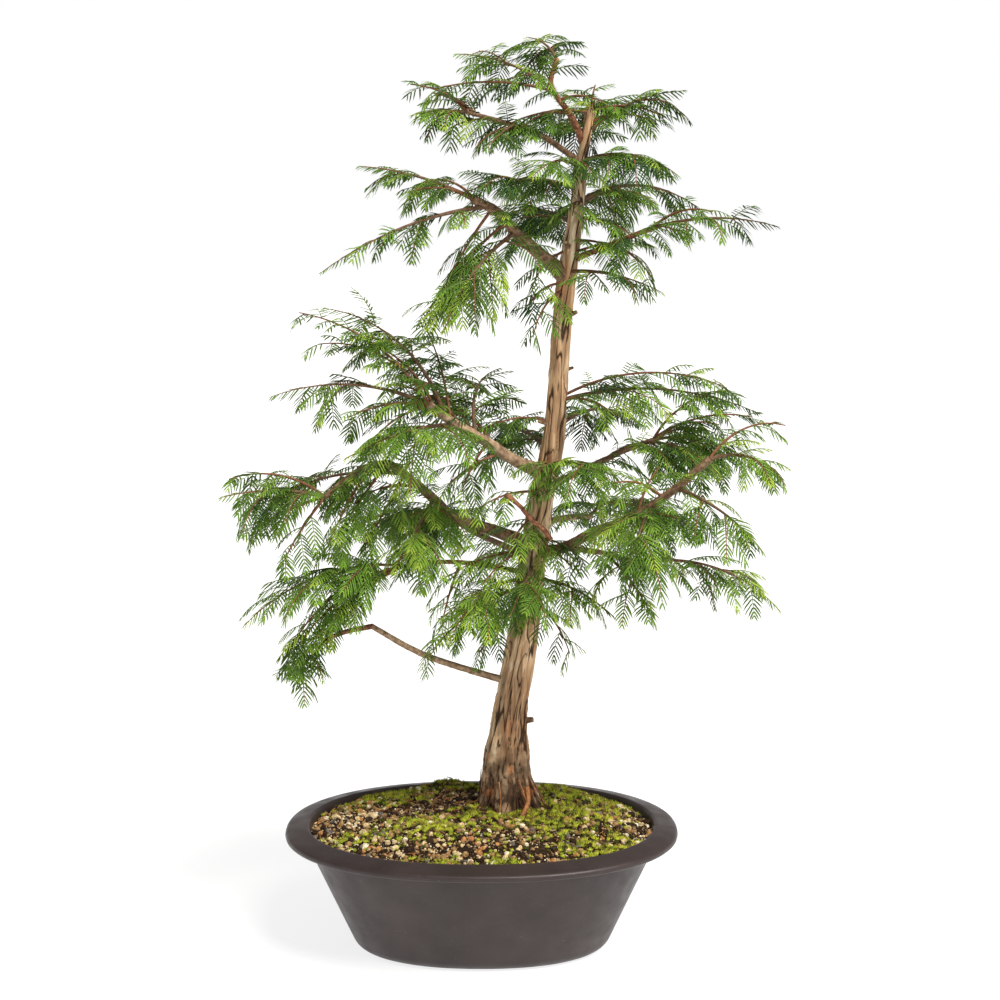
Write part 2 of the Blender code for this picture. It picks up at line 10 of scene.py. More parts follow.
import bmesh
import bpy
import numpy as np
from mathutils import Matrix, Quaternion, Vector, noise
from mathutils.bvhtree import BVHTree


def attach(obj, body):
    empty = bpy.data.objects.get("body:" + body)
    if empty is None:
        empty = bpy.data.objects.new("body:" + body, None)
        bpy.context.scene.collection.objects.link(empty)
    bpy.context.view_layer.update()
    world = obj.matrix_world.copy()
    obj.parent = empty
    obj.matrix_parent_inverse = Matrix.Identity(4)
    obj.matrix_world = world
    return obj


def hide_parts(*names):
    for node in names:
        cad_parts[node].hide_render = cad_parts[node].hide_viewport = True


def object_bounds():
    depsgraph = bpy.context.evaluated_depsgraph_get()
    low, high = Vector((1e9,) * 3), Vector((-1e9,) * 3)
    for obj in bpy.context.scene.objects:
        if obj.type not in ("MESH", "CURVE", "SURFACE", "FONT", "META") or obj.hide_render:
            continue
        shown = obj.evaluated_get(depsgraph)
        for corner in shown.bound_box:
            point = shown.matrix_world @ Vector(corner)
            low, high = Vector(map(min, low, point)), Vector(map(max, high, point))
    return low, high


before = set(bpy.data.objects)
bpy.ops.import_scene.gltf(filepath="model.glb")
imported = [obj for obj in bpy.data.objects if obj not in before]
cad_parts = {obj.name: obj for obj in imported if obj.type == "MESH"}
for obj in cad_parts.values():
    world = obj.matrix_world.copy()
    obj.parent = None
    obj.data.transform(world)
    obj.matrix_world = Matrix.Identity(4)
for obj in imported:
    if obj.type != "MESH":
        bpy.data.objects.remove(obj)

cad_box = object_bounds()


# The pot
# A training pot moulded in one piece of brown-grey plastic: an oval with leaning walls, a rounded foot
# and a wide rim that slopes outwards over a small fillet. Two drain holes are cut through its floor.

MM = 0.001
POT_LENGTH = 355
POT_WIDTH = 276
POT_STEPS = 160
OVAL_POWER = 2.2
WALL_LEAN = 0.45
WALL_THICKNESS = 4
FOOT_INSET = 64
FOOT_ROUNDING = 16
FLOOR_THICKNESS = 5
DRAIN_RADIUS = 9
DRAIN_SPACING = 110
# The rim from wall to lip: how far in from the outline, and how high
RIM_PROFILE = (
    (19.0, 100), (18.2, 102), (16.8, 103.4), (14.5, 104), (3.0, 104), (1.4, 104.3), (0.4, 105.2),
    (0, 106.8), (0.3, 108.4), (1.1, 109.5), (2.6, 110.3), (8, 111.6), (14, 112.9), (18, 113.7),
    (19.6, 114), (20.6, 113.8), (21.3, 113), (21.8, 111),
)


def only(obj):
    """Deselects everything but one object, and makes it the active one."""
    bpy.ops.object.select_all(action="DESELECT")
    obj.select_set(True)
    bpy.context.view_layer.objects.active = obj


def in_scene(name, data):
    """A new object in the scene."""
    made = bpy.data.objects.new(name, data)
    bpy.context.scene.collection.objects.link(made)
    return made


def fresh(add, **sizes):
    """Adds a primitive with nothing else selected."""
    bpy.ops.object.select_all(action="DESELECT")
    add(**sizes)
    return bpy.context.object


def wall_inset(z):
    return FOOT_INSET - WALL_LEAN * z


def turns(count):
    """Angles in even steps round a circle."""
    return [2 * pi * k / count for k in range(count)]


def oval(c, s, inset):
    """A place on the pot's outline drawn in by inset, from the cosine and sine of its turn."""
    power = 2 / OVAL_POWER
    x = copysign(abs(c) ** power, c) * (POT_LENGTH / 2 - inset)
    return x, copysign(abs(s) ** power, s) * (POT_WIDTH / 2 - inset)


def put(node, **values):
    """Sets a node's inputs, each named with an underscore for each space."""
    for name, value in values.items():
        node.inputs[name.replace("_", " ")].default_value = value


def new_finish(name, colour, roughness):
    """A material, with its node tree and its shader."""
    made = bpy.data.materials.new(name)
    made.use_nodes = True
    shader = made.node_tree.nodes["Principled BSDF"]
    put(shader, Base_Color=(*colour, 1), Roughness=roughness, Specular_IOR_Level=0.15)
    return made, made.node_tree, shader


def speckle(tree, scale, detail=3, stretch=(1, 1, 1)):
    """A noise over object coordinates, with this scale to a metre. Returns its output socket."""
    place = tree.nodes.new("ShaderNodeTexCoord")
    turn = tree.nodes.new("ShaderNodeMapping")
    put(turn, Scale=stretch)
    grain = tree.nodes.new("ShaderNodeTexNoise")
    put(grain, Scale=scale, Detail=detail)
    tree.links.new(place.outputs["Object"], turn.inputs["Vector"])
    tree.links.new(turn.outputs["Vector"], grain.inputs["Vector"])
    return grain.outputs["Fac"]


def ramp(tree, source, *stops):
    """A colour ramp of (place, colour) stops, or of (place, number) stops."""
    node = tree.nodes.new("ShaderNodeValToRGB")
    tree.links.new(source, node.inputs["Fac"])
    while len(node.color_ramp.elements) < len(stops):
        node.color_ramp.elements.new(0.5)
    for element, (place, value) in zip(node.color_ramp.elements, stops):
        colour = value if isinstance(value, tuple) else (value,) * 3
        element.position = place
        element.color = (*colour, 1)
    return node.outputs["Color"]


def blend_colours(tree, share, first, second, how="MIX"):
    """Mixes two colours, each a socket or a plain colour, by a share that is a socket or a number."""
    node = tree.nodes.new("ShaderNodeMix")
    node.data_type = "RGBA"
    node.blend_type = how
    for socket, value in ((0, share), (6, first), (7, second)):
        if isinstance(value, bpy.types.NodeSocket):
            tree.links.new(value, node.inputs[socket])
        elif socket == 0:
            node.inputs[0].default_value = value
        else:
            node.inputs[socket].default_value = (*value, 1)
    return node.outputs[2]


def roughen(tree, shader, height, depth, strength=1.0):
    """Bump from a height socket, with its depth in metres."""
    node = tree.nodes.new("ShaderNodeBump")
    put(node, Distance=depth, Strength=strength)
    tree.links.new(height, node.inputs["Height"])
    tree.links.new(node.outputs["Normal"], shader.inputs["Normal"])


def paint(shader, colour):
    """Takes the shader's colour from a socket."""
    shader.id_data.links.new(colour, shader.inputs["Base Color"])


lean_end = pi / 2 - atan(WALL_LEAN)
foot_top = FOOT_ROUNDING * (1 - cos(lean_end))
foot_middle = wall_inset(foot_top) + FOOT_ROUNDING * sin(lean_end)
foot_angles = [lean_end * k / 9 for k in range(10)]
profile = [(foot_middle - FOOT_ROUNDING * sin(a), FOOT_ROUNDING * (1 - cos(a))) for a in foot_angles]
inner_low = FLOOR_THICKNESS + FOOT_ROUNDING / 2
profile += [
    *[(wall_inset(z), z) for z in (30, 55, 80)], *RIM_PROFILE,
    *[(wall_inset(z) + WALL_THICKNESS, z) for z in (60, inner_low)],
    (FOOT_INSET + FOOT_ROUNDING / 2 + WALL_THICKNESS, FLOOR_THICKNESS),
]

pot = fresh(bpy.ops.mesh.primitive_circle_add, vertices=POT_STEPS, radius=1, fill_type="NGON")
pot.name = "training_pot"
inset, z = profile[0]
for corner in pot.data.vertices:
    x, y = oval(corner.co.x, corner.co.y, inset)
    corner.co.x, corner.co.y = x * MM, y * MM
bpy.ops.object.mode_set(mode="EDIT")
bpy.ops.mesh.select_all(action="SELECT")
for further, higher in profile[1:]:
    bpy.ops.mesh.extrude_region_move(TRANSFORM_OT_translate={"value": (0, 0, (higher - z) * MM)})
    grow_x = (POT_LENGTH / 2 - further) / (POT_LENGTH / 2 - inset)
    grow_y = (POT_WIDTH / 2 - further) / (POT_WIDTH / 2 - inset)
    bpy.ops.transform.resize(value=(grow_x, grow_y, 1), center_override=(0, 0, higher * MM))
    inset, z = further, higher
bpy.ops.mesh.select_all(action="SELECT")
bpy.ops.mesh.normals_make_consistent(inside=False)
bpy.ops.object.mode_set(mode="OBJECT")
for side in (-1, 1):
    drill = fresh(bpy.ops.mesh.primitive_cylinder_add, vertices=32, radius=DRAIN_RADIUS * MM,
                  depth=4 * FLOOR_THICKNESS * MM, location=(side * DRAIN_SPACING / 2 * MM, 0, 0))
    only(pot)
    cut = pot.modifiers.new("drain", "BOOLEAN")
    cut.operation = "DIFFERENCE"
    cut.object = drill
    bpy.ops.object.modifier_apply(modifier="drain")
    bpy.data.objects.remove(drill)
bpy.ops.object.shade_smooth_by_angle(angle=radians(38))

plastic, tree, shader = new_finish("brown_grey_plastic", (0.038, 0.027, 0.025), 0.42)
put(shader, Specular_IOR_Level=0.38)
body = ramp(tree, speckle(tree, 22, 4), (0.3, (0.027, 0.0175, 0.0165)), (0.7, (0.043, 0.029, 0.027)))
dust = ramp(tree, speckle(tree, 420, 2), (0.68, 0.0), (0.76, 0.3))
paint(shader, blend_colours(tree, dust, body, (0.15, 0.13, 0.12)))
tree.links.new(ramp(tree, speckle(tree, 60, 5), (0.35, 0.36), (0.7, 0.52)), shader.inputs["Roughness"])
roughen(tree, shader, speckle(tree, 900, 3), 0.00012, 0.5)
pot.data.materials.append(plastic)
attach(pot, "root")
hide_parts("pot")


# The soil
# Damp dark humus heaped a little towards the trunk's foot, filling the pot to below its rim. It is
# lumpy where roots and old moss lift it.

SOIL_EDGE_HEIGHT = 106.5
GROUND = 123
PLATEAU_RADIUS = 40
SOIL_EDGE_INSET = 24.1
SOIL_STEPS = 150
SOIL_RINGS = 46
SOIL_CLOSING = 1.9
TRUNK_FOOT = Vector((26, 18, 0))
# Heaps on the soil: place, radius and height.
SOIL_HEAPS = (
    (-38, 102, 27, 9), (72, 92, 28, 5), (-92, 56, 30, 5), (-62, -46, 27, 5), (24, -88, 30, 5),
    (104, -28, 28, 5), (-128, -10, 26, 5),
)


def shaped(name, points, faces):
    """A new smooth object from points in millimetres, with its faces outwards."""
    mesh = bpy.data.meshes.new(name)
    mesh.from_pydata([tuple(Vector(p) * MM) for p in points], [], faces)
    made = in_scene(name, mesh)
    work = bmesh.new()
    work.from_mesh(mesh)
    bmesh.ops.recalc_face_normals(work, faces=work.faces)
    if work.calc_volume(signed=True) < 0:
        bmesh.ops.reverse_faces(work, faces=work.faces)
    work.to_mesh(mesh)
    work.free()
    mesh.polygons.foreach_set("use_smooth", [True] * len(mesh.polygons))
    return made


def stack(rings):
    """Points and faces of a closed skin through rings of equal length, with flat ends."""
    count = len(rings[0])
    points = [p for ring in rings for p in ring]
    faces = [list(range(count))[::-1], [len(points) - count + i for i in range(count)]]
    for level in range(len(rings) - 1):
        for i in range(count):
            j = (i + 1) % count
            low, high = level * count, (level + 1) * count
            faces.append([low + i, low + j, high + j, high + i])
    return points, faces


def soil_oval(inset, z):
    return [Vector((*oval(cos(a), sin(a), inset), z)) for a in turns(SOIL_STEPS)]


def lumps(p):
    rough = noise.fractal(p * 0.05, 1.0, 2.0, 2) * 1.6 + noise.fractal(p * 0.16, 0.8, 2.1, 3) * 1.3
    heaps = sum(high * exp(-((p.x - x) ** 2 + (p.y - y) ** 2) / wide ** 2)
                for x, y, wide, high in SOIL_HEAPS)
    return rough + heaps


soil_edge = soil_oval(SOIL_EDGE_INSET, SOIL_EDGE_HEIGHT)
rings = [
    soil_oval(FOOT_INSET + FOOT_ROUNDING / 2 + WALL_THICKNESS + 0.3, FLOOR_THICKNESS + 0.3),
    soil_oval(wall_inset(inner_low) + WALL_THICKNESS + 0.6, inner_low + 0.3),
]
for level in range(SOIL_RINGS + 1):
    share = level / SOIL_RINGS * SOIL_CLOSING
    ring = []
    for p in soil_edge:
        outwards = (p - TRUNK_FOOT).to_2d().normalized().to_3d()
        middle = TRUNK_FOOT + outwards * PLATEAU_RADIUS
        if share <= 1:
            q = p.lerp(middle, share)
            q.z = SOIL_EDGE_HEIGHT + (GROUND - SOIL_EDGE_HEIGHT) * sin(share * pi / 2)
        else:
            q = TRUNK_FOOT + outwards * PLATEAU_RADIUS * (SOIL_CLOSING - share + 0.03) / 0.93
            q.z = GROUND
        q.z += lumps(Vector((q.x, q.y, 0))) * min(1, share * 6)
        ring.append(q)
    rings.append(ring)
soil = shaped("soil_heap", *stack(rings))

humus, tree, shader = new_finish("damp_humus", (0.035, 0.022, 0.014), 0.92)
paint(shader, ramp(
    tree, speckle(tree, 320, 5), (0.34, (0.008, 0.005, 0.003)), (0.52, (0.028, 0.015, 0.007)),
    (0.66, (0.065, 0.036, 0.016)), (0.8, (0.15, 0.095, 0.045))))
roughen(tree, shader, speckle(tree, 700, 5), 0.0012)
soil.data.materials.append(humus)
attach(soil, "root")
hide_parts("soil")

corners = [v.co / MM for v in soil.data.vertices]
soil_skin = BVHTree.FromPolygons(corners, [tuple(f.vertices) for f in soil.data.polygons])


def on_soil(x, y):
    """The top of the soil at a place, and the way that it faces, or nothing outside it."""
    place, normal, _, _ = soil_skin.ray_cast(Vector((x, y, 200)), Vector((0, 0, -1)))
    if place is None or place.z < SOIL_EDGE_HEIGHT - 4:
        return None
    return place, normal if normal.z > 0 else -normal


# The pebbles and grit
# Lava, pumice and fired clay, from 1 to 7 mm, that was mixed into the soil and lies on top of it. They
# lie thickest at the left and along the front edge. Each is a knocked-about box with its edges off.

PEBBLE_COUNT = 1500
PEBBLE_SIZES = (2.6, 6.6)
GRIT_COUNT = 6400
GRIT_SIZES = (1.1, 2.7)
STONE_COLOURS = (
    ("cream_stone", (0.66, 0.50, 0.27)), ("pale_stone", (0.84, 0.72, 0.52)),
    ("tan_stone", (0.32, 0.19, 0.080)), ("orange_stone", (0.46, 0.21, 0.075)),
    ("grey_stone", (0.15, 0.125, 0.10)), ("dark_crumb", (0.034, 0.019, 0.010)),
)
STONE_SHARES = (0.22, 0.10, 0.22, 0.08, 0.06, 0.32)
# Stony and bare patches: place, half length, half width and how thick they are at most.
STONY = ((-115, -10, 55, 70, 1.0), (20, -112, 130, 26, 1.0), (135, -5, 32, 60, 0.8), (95, -60, 50, 40, 0.6),
         (-60, -80, 70, 40, 0.9), (-125, 50, 40, 40, 0.7), (110, 55, 45, 45, 0.5), (0, -60, 60, 40, 0.6))
BARE = ((-38, 22, 48, 26, 1), (-8, -8, 34, 22, 1), (10, 10, 30, 18, 1))


def spread_over(x, y, patches):
    """How thickly a place is covered by the patches."""
    return max(most * exp(-((x - px) / a) ** 2 - ((y - py) / b) ** 2) for px, py, a, b, most in patches)


def joined(name, points, faces, slots, finishes, smooth_faces=True):
    """A mesh from rows: points in millimetres, triangles, and each triangle's material slot."""
    points = np.array([p[:] for p in points], np.float64)
    faces = np.asarray(faces, np.int64).reshape(-1, 3)
    corners = points[faces]
    volume = np.einsum("ij,ij->i", corners[:, 0], np.cross(corners[:, 1], corners[:, 2])).sum()
    if volume < 0:
        faces = faces[:, ::-1]
    mesh = bpy.data.meshes.new(name)
    mesh.vertices.add(len(points))
    mesh.vertices.foreach_set("co", (points * MM).ravel())
    mesh.loops.add(faces.size)
    mesh.loops.foreach_set("vertex_index", faces.ravel())
    mesh.polygons.add(len(faces))
    mesh.polygons.foreach_set("loop_start", np.arange(0, faces.size, 3))
    mesh.polygons.foreach_set("material_index", np.asarray(slots, np.int32))
    mesh.polygons.foreach_set("use_smooth", np.full(len(faces), smooth_faces))
    for finish in finishes:
        mesh.materials.append(finish)
    mesh.update(calc_edges=True)
    mesh.validate()
    return in_scene(name, mesh)


def mottled(name, colour, roughness, scale, detail, dim, low, high, bright=1.0):
    """A finish whose colour wanders between a dimmer and a brighter shade of itself."""
    finish, tree, shader = new_finish(name, colour, roughness)
    darker, lighter = (tuple(min(1.0, share * c) for c in colour) for share in (dim, bright))
    paint(shader, ramp(tree, speckle(tree, scale, detail), (low, darker), (high, lighter)))
    return finish, tree, shader


def pattern_of(piece):
    """The corners and faces of a pattern, which is then deleted."""
    corners = np.array([v.co[:] for v in piece.data.vertices])
    faces = np.array([f.vertices[:] for f in piece.data.polygons])
    bpy.data.objects.remove(piece)
    return corners, faces


stone_finishes = []
for name, colour in STONE_COLOURS:
    stone, tree, shader = mottled(name, colour, 0.8, 500, 4, 0.55, 0.35, 0.6, 1.2)
    roughen(tree, shader, speckle(tree, 1400, 3), 0.0003)
    stone_finishes.append(stone)

pebble = fresh(bpy.ops.mesh.primitive_cube_add, size=1)
bpy.ops.object.mode_set(mode="EDIT")
bpy.ops.mesh.select_all(action="SELECT")
bpy.ops.mesh.bevel(offset=0.26, segments=1, affect="EDGES")
bpy.ops.mesh.quads_convert_to_tris()
bpy.ops.object.mode_set(mode="OBJECT")
pebble_pattern = pattern_of(pebble)
grit_pattern = pattern_of(fresh(bpy.ops.mesh.primitive_ico_sphere_add, subdivisions=1, radius=0.5))


def strew(name, count, pattern, sizes, sink, seed, chance):
    """Scatters copies of a stone over the soil, by chance at each place, and joins them."""
    draw = np.random.default_rng(seed)
    base, skin = pattern
    least, most = sizes
    points, faces, slots = [], [], []
    while len(points) < count:
        x = draw.uniform(-1, 1) * POT_LENGTH / 2
        y = draw.uniform(-1, 1) * POT_WIDTH / 2
        found = on_soil(x, y)
        if found is None or draw.uniform() > chance(x, y):
            continue
        place, normal = found
        size = least + (most - least) * draw.uniform() ** 2.2
        body = base * (1 + draw.uniform(-0.16, 0.16, base.shape)) * draw.uniform(0.65, 1.1, 3) * size
        turn = Quaternion(draw.normal(size=4)).normalized().to_matrix()
        body = body @ np.array(turn).T
        points.append(body + np.array(place + normal * size * sink))
        faces.append(skin + len(base) * len(faces))
        slots.append(np.full(len(skin), draw.choice(len(STONE_SHARES), p=STONE_SHARES)))
    made = joined(name, np.concatenate(points), np.concatenate(faces), np.concatenate(slots), stone_finishes,
                  False)
    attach(made, "root")


def stone_chance(x, y):
    return (0.24 + 0.76 * spread_over(x, y, STONY)) * (1 - 0.88 * spread_over(x, y, BARE))


strew("pebbles", PEBBLE_COUNT, pebble_pattern, PEBBLE_SIZES, 0.05, 11, stone_chance)
strew("grit", GRIT_COUNT, grit_pattern, GRIT_SIZES, 0.15, 12, lambda x, y: 0.3 + 0.7 * stone_chance(x, y))


# The moss
# Short yellow-green moss in patches, thickest behind the trunk, beside it and at the front. Each tuft
# is a star of pointed leaflets a few millimetres high.

TUFT_COUNT = 5200
TUFT_HEIGHTS = (1.8, 4.6)
LEAFLETS = 8
MOSSY = ((-90, 56, 34, 22, 1.0), (-17, 96, 34, 22, 1.0), (-44, -42, 36, 20, 0.9), (28, -8, 36, 18, 1.0),
         (93, 56, 40, 26, 1.0), (102, -78, 30, 16, 0.9), (126, -60, 18, 16, 0.9), (-42, -106, 24, 10, 0.8),
         (20, -107, 26, 9, 0.7), (-124, 82, 30, 14, 0.8), (71, 92, 40, 20, 0.9), (80, -4, 34, 26, 0.7),
         (60, -40, 50, 22, 0.5), (-40, 116, 40, 14, 0.9), (-100, -50, 30, 14, 0.4), (60, 22, 20, 20, 0.9))
MOSS_COLOURS = (
    ("bright_moss", (0.58, 0.61, 0.050)), ("leaf_moss", (0.34, 0.41, 0.030)),
    ("deep_moss", (0.085, 0.105, 0.014)), ("dry_moss", (0.26, 0.17, 0.045)),
)
MOSS_SHARES = (0.34, 0.22, 0.28, 0.16)
moss_finishes = [mottled(name, colour, 0.7, 260, 2, 0.6, 0.3, 0.65)[0] for name, colour in MOSS_COLOURS]


def moss_chance(x, y):
    broken = 0.42 + 1.5 * noise.fractal(Vector((x, y, 5)) * 0.13, 0.9, 2.1, 3)
    return spread_over(x, y, MOSSY) * max(0.03, min(1, broken))


draw = np.random.default_rng(21)
points, faces, slots = [], [], []
spike = np.array([[0, 1, 2], [0, 1, 3], [1, 2, 3], [2, 0, 3]])
spike[0] = spike[0][::-1]
while len(faces) < TUFT_COUNT * LEAFLETS:
    x = draw.uniform(-1, 1) * POT_LENGTH / 2
    y = draw.uniform(-1, 1) * POT_WIDTH / 2
    found = on_soil(x, y)
    if found is None or draw.uniform() > moss_chance(x, y):
        continue
    place, normal = found
    high = draw.uniform(*TUFT_HEIGHTS)
    slot = draw.choice(len(MOSS_SHARES), p=MOSS_SHARES)
    for k in range(LEAFLETS):
        heading = 2 * pi * (k + draw.uniform(-0.3, 0.3)) / LEAFLETS
        lean = draw.uniform(0.2, 1.1)
        ahead = Vector((cos(heading) * lean, sin(heading) * lean, 1)).normalized()
        across = Vector((-sin(heading), cos(heading), 0))
        over = across.cross(ahead)
        foot = place + ahead * 0.4
        wide = high * 0.16
        tip = foot + ahead * high
        points += [foot + across * wide, foot - across * wide, foot + over * wide * 1.2, tip]
        faces.append(spike + 4 * len(faces))
        slots += [slot] * 4
moss = joined("moss", points, np.concatenate(faces), slots, moss_finishes)
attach(moss, "root")


# The trunk
# One tapering stem with a lean, flared at its foot and pruned off at its top. Its tan-brown bark is
# split by upright fissures into plates that peel at their edges.

# height above the ground, lean to the right and radius
TRUNK_LINE = (
    (0, 26, 27), (28, 22, 24), (57, 23, 19.5), (85, 25, 16), (121, 31, 15.3), (163, 38, 14),
    (257, 49, 12.2), (300, 56, 11.4), (328, 63, 10.3), (356, 66, 9.5), (430, 70, 8.8),
    (485, 75, 8.8), (529, 82, 6.8), (587, 88, 5.4), (615, 93, 4.4), (631, 97, 3.4),
)
SEAT_GAP = 0.3
TRUNK_SET_BACK = 18
TRUNK_SIDES = 12
TRUNK_RINGS = 20
FLARE_HEIGHT = 20
# Swellings round the foot: how many, how much and where the first one stands.
ROOT_LOBES = ((3, 0.10, 40), (5, 0.13, 115))
BARK_SIDES = 132
BARK_RINGS = 400
BARK_FOOT = -5
FISSURE_DEPTH = 1.45
PLATE_STEP = 0.7


def outward(a):
    """The level way at an angle."""
    return Vector((cos(a), sin(a), 0))


def trunk_axis(height):
    """Centre and radius of the trunk at a height above the ground."""
    rows = TRUNK_LINE
    above = next((i for i, row in enumerate(rows) if row[0] >= height), len(rows) - 1)
    above = max(above, 1)
    low, high = rows[above - 1], rows[above]
    share = (height - low[0]) / (high[0] - low[0])
    lean = low[1] + (high[1] - low[1]) * share
    radius = low[2] + (high[2] - low[2]) * share
    back = TRUNK_SET_BACK * (1 - height / rows[-1][0])
    return Vector((lean, back, GROUND + SEAT_GAP + height)), radius


def root_swell(a):
    """How much the trunk's foot swells at an angle round it, as a share of its radius."""
    return sum(size * cos(n * a + radians(phase)) for n, size, phase in ROOT_LOBES)


def eased_axis(height):
    """The trunk's axis with its corners rounded off."""
    found = [trunk_axis(min(max(height + d, 0), TRUNK_LINE[-1][0])) for d in (-14, -7, 0, 7, 14)]
    centre = sum((row[0] for row in found), Vector()) / 5
    centre.z = GROUND + SEAT_GAP + height
    return centre, sum(row[1] for row in found) / 5


def bark_relief(a, height, radius):
    """Height of the bark over the wood at an angle round the trunk, and how much of a fissure it is."""
    p = Vector((cos(a) * radius, sin(a) * radius, height * 0.055))
    wander = noise.fractal(Vector((p.x, p.y, height * 0.16)) * 0.09, 1.0, 2.0, 2) * 1.6
    crack = abs(noise.noise(p * 0.20 + Vector((wander, wander, 0))))
    narrow = abs(noise.noise(p * 0.55 + Vector((0, 0, wander))))
    open_crack = max(0.0, 1 - crack / 0.16)
    open_narrow = max(0.0, 1 - narrow / 0.14) * 0.45
    fissure = max(open_crack, open_narrow)
    step = noise.noise(Vector((p.x * 0.3, p.y * 0.3, height * 0.055)) + Vector((9, 3, 1)))
    plate = 0.5 + 0.5 * tanh(step * 14)
    fine = noise.fractal(Vector((p.x, p.y, height * 0.25)) * 0.9, 0.8, 2.2, 2) * 0.16
    relief = -FISSURE_DEPTH * fissure ** 1.4 + PLATE_STEP * plate - PLATE_STEP + fine
    return relief, fissure, plate


points, crack_values, plate_values, shade_values = [], [], [], []
for i in range(BARK_RINGS):
    share = i / (BARK_RINGS - 1)
    height = BARK_FOOT + (TRUNK_LINE[-1][0] - BARK_FOOT) * share ** 1.12
    centre, radius = eased_axis(height)
    flare = exp(-max(height, 0) / FLARE_HEIGHT)
    low = exp(-max(height, 0) / 34)
    coarse = 0.30 + 0.70 * min(1, radius / 15)
    for a in turns(BARK_SIDES):
        relief, fissure, plate = bark_relief(a, height, radius)
        around = Vector((cos(a) * 2.1, sin(a) * 2.1, height * 0.045))
        knobs = noise.fractal(around, 1.0, 2.0, 3) * (0.5 + 3.2 * low) * coarse
        r = radius * (1 + flare * root_swell(a)) + relief * coarse + knobs
        points.append(centre + outward(a) * r)
        crack_values.append(fissure)
        plate_values.append(plate)
        shade_values.append(max(0.0, -cos(a - 0.35)))
rings = [points[i * BARK_SIDES:(i + 1) * BARK_SIDES] for i in range(BARK_RINGS)]
trunk = shaped("bark_trunk", *stack(rings))


def mark(obj, name, values):
    """Keeps one number for each point of a mesh, for its material to read."""
    layer = obj.data.attributes.new(name, "FLOAT", "POINT")
    layer.data.foreach_set("value", values)


mark(trunk, "crack", crack_values)
mark(trunk, "plate", plate_values)
mark(trunk, "shade_side", shade_values)


def read(tree, name):
    node = tree.nodes.new("ShaderNodeAttribute")
    node.attribute_name = name
    return node.outputs["Fac"]


def height_share(tree, low, high):
    """0 below one height in millimetres and 1 above another."""
    place = tree.nodes.new("ShaderNodeTexCoord")
    part = tree.nodes.new("ShaderNodeSeparateXYZ")
    fit = tree.nodes.new("ShaderNodeMapRange")
    put(fit, From_Min=low * MM, From_Max=high * MM)
    tree.links.new(place.outputs["Object"], part.inputs["Vector"])
    tree.links.new(part.outputs["Z"], fit.inputs["Value"])
    return fit.outputs["Result"]


def within(tree, place, share):
    """A share that counts only as far as its place does."""
    return blend_colours(tree, place, (0.0, 0.0, 0.0), share)


bark, tree, shader = new_finish("peeling_bark", (0.30, 0.19, 0.12), 0.78)
strands = speckle(tree, 210, 5, (1, 1, 0.07))
patches = speckle(tree, 26, 3, (1, 1, 0.45))
tan = ramp(tree, strands, (0.32, (0.40, 0.22, 0.115)), (0.5, (0.92, 0.62, 0.36)), (0.66, (1.0, 0.86, 0.62)))
brown = ramp(tree, strands, (0.32, (0.27, 0.135, 0.066)), (0.68, (0.88, 0.55, 0.30)))
body = blend_colours(tree, ramp(tree, patches, (0.42, 0.0), (0.58, 1.0)), tan, brown)
plate_edge = ramp(tree, read(tree, "plate"), (0.1, 0.45), (0.6, 0.0))
body = blend_colours(tree, plate_edge, body, (0.34, 0.17, 0.09))
broad = ramp(tree, speckle(tree, 75, 3, (1, 1, 0.09)), (0.38, 0.62), (0.52, 1.0))
body = blend_colours(tree, 1.0, body, broad, "MULTIPLY")
# Painted shade: dull greenish blotches laid on the side of the trunk that faces away from the light, as the
# shade_side mark gives it.
painted_shade_blotches = ramp(tree, speckle(tree, 70, 4, (1, 1, 0.25)), (0.42, 0.03), (0.64, 0.5))
# Dark blotches towards the trunk's foot, fading out upwards.
foot = ramp(tree, height_share(tree, 132, 192), (0.0, 1.0), (0.6, 0.75), (1.0, 0.0))
foot_blotches = ramp(tree, speckle(tree, 90, 4), (0.40, 1.0), (0.62, 0.35))
under_crown = ramp(tree, height_share(tree, 560, 620), (0.0, 0.0), (0.3, 0.8), (0.7, 0.8), (1.0, 0.0))
red_wood = ramp(tree, patches, (0.40, 1.0), (0.56, 0.0))
lower_trunk = ramp(tree, height_share(tree, 135, 225), (0.0, 0.9), (0.45, 1.0), (1.0, 0.0))
rust = ramp(tree, speckle(tree, 62, 3), (0.60, 0.0), (0.68, 0.85))
# Lays on the painted shade, the dark blotches at the foot, the red wood below the crown and the rust-coloured
# patches low down.
for place, share, colour in (
    (read(tree, "shade_side"), painted_shade_blotches, (0.17, 0.145, 0.085)), (foot, foot_blotches, (0.050, 0.030, 0.018)),
    (under_crown, red_wood, (0.50, 0.19, 0.075)), (lower_trunk, rust, (0.55, 0.22, 0.09)),
):
    body = blend_colours(tree, within(tree, place, share), body, colour)
cracks = ramp(tree, read(tree, "crack"), (0.25, 0.0), (0.75, 0.95))
paint(shader, blend_colours(tree, cracks, body, (0.040, 0.020, 0.010)))
roughen(tree, shader, strands, 0.0007, 0.8)
trunk.data.materials.append(bark)
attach(trunk, "root")
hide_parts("trunk")


# The pruned top
# The leader was cut off at the trunk's top years ago, and a side shoot took its place. The cut is a
# flat face of pale wood inside a ring of bark.

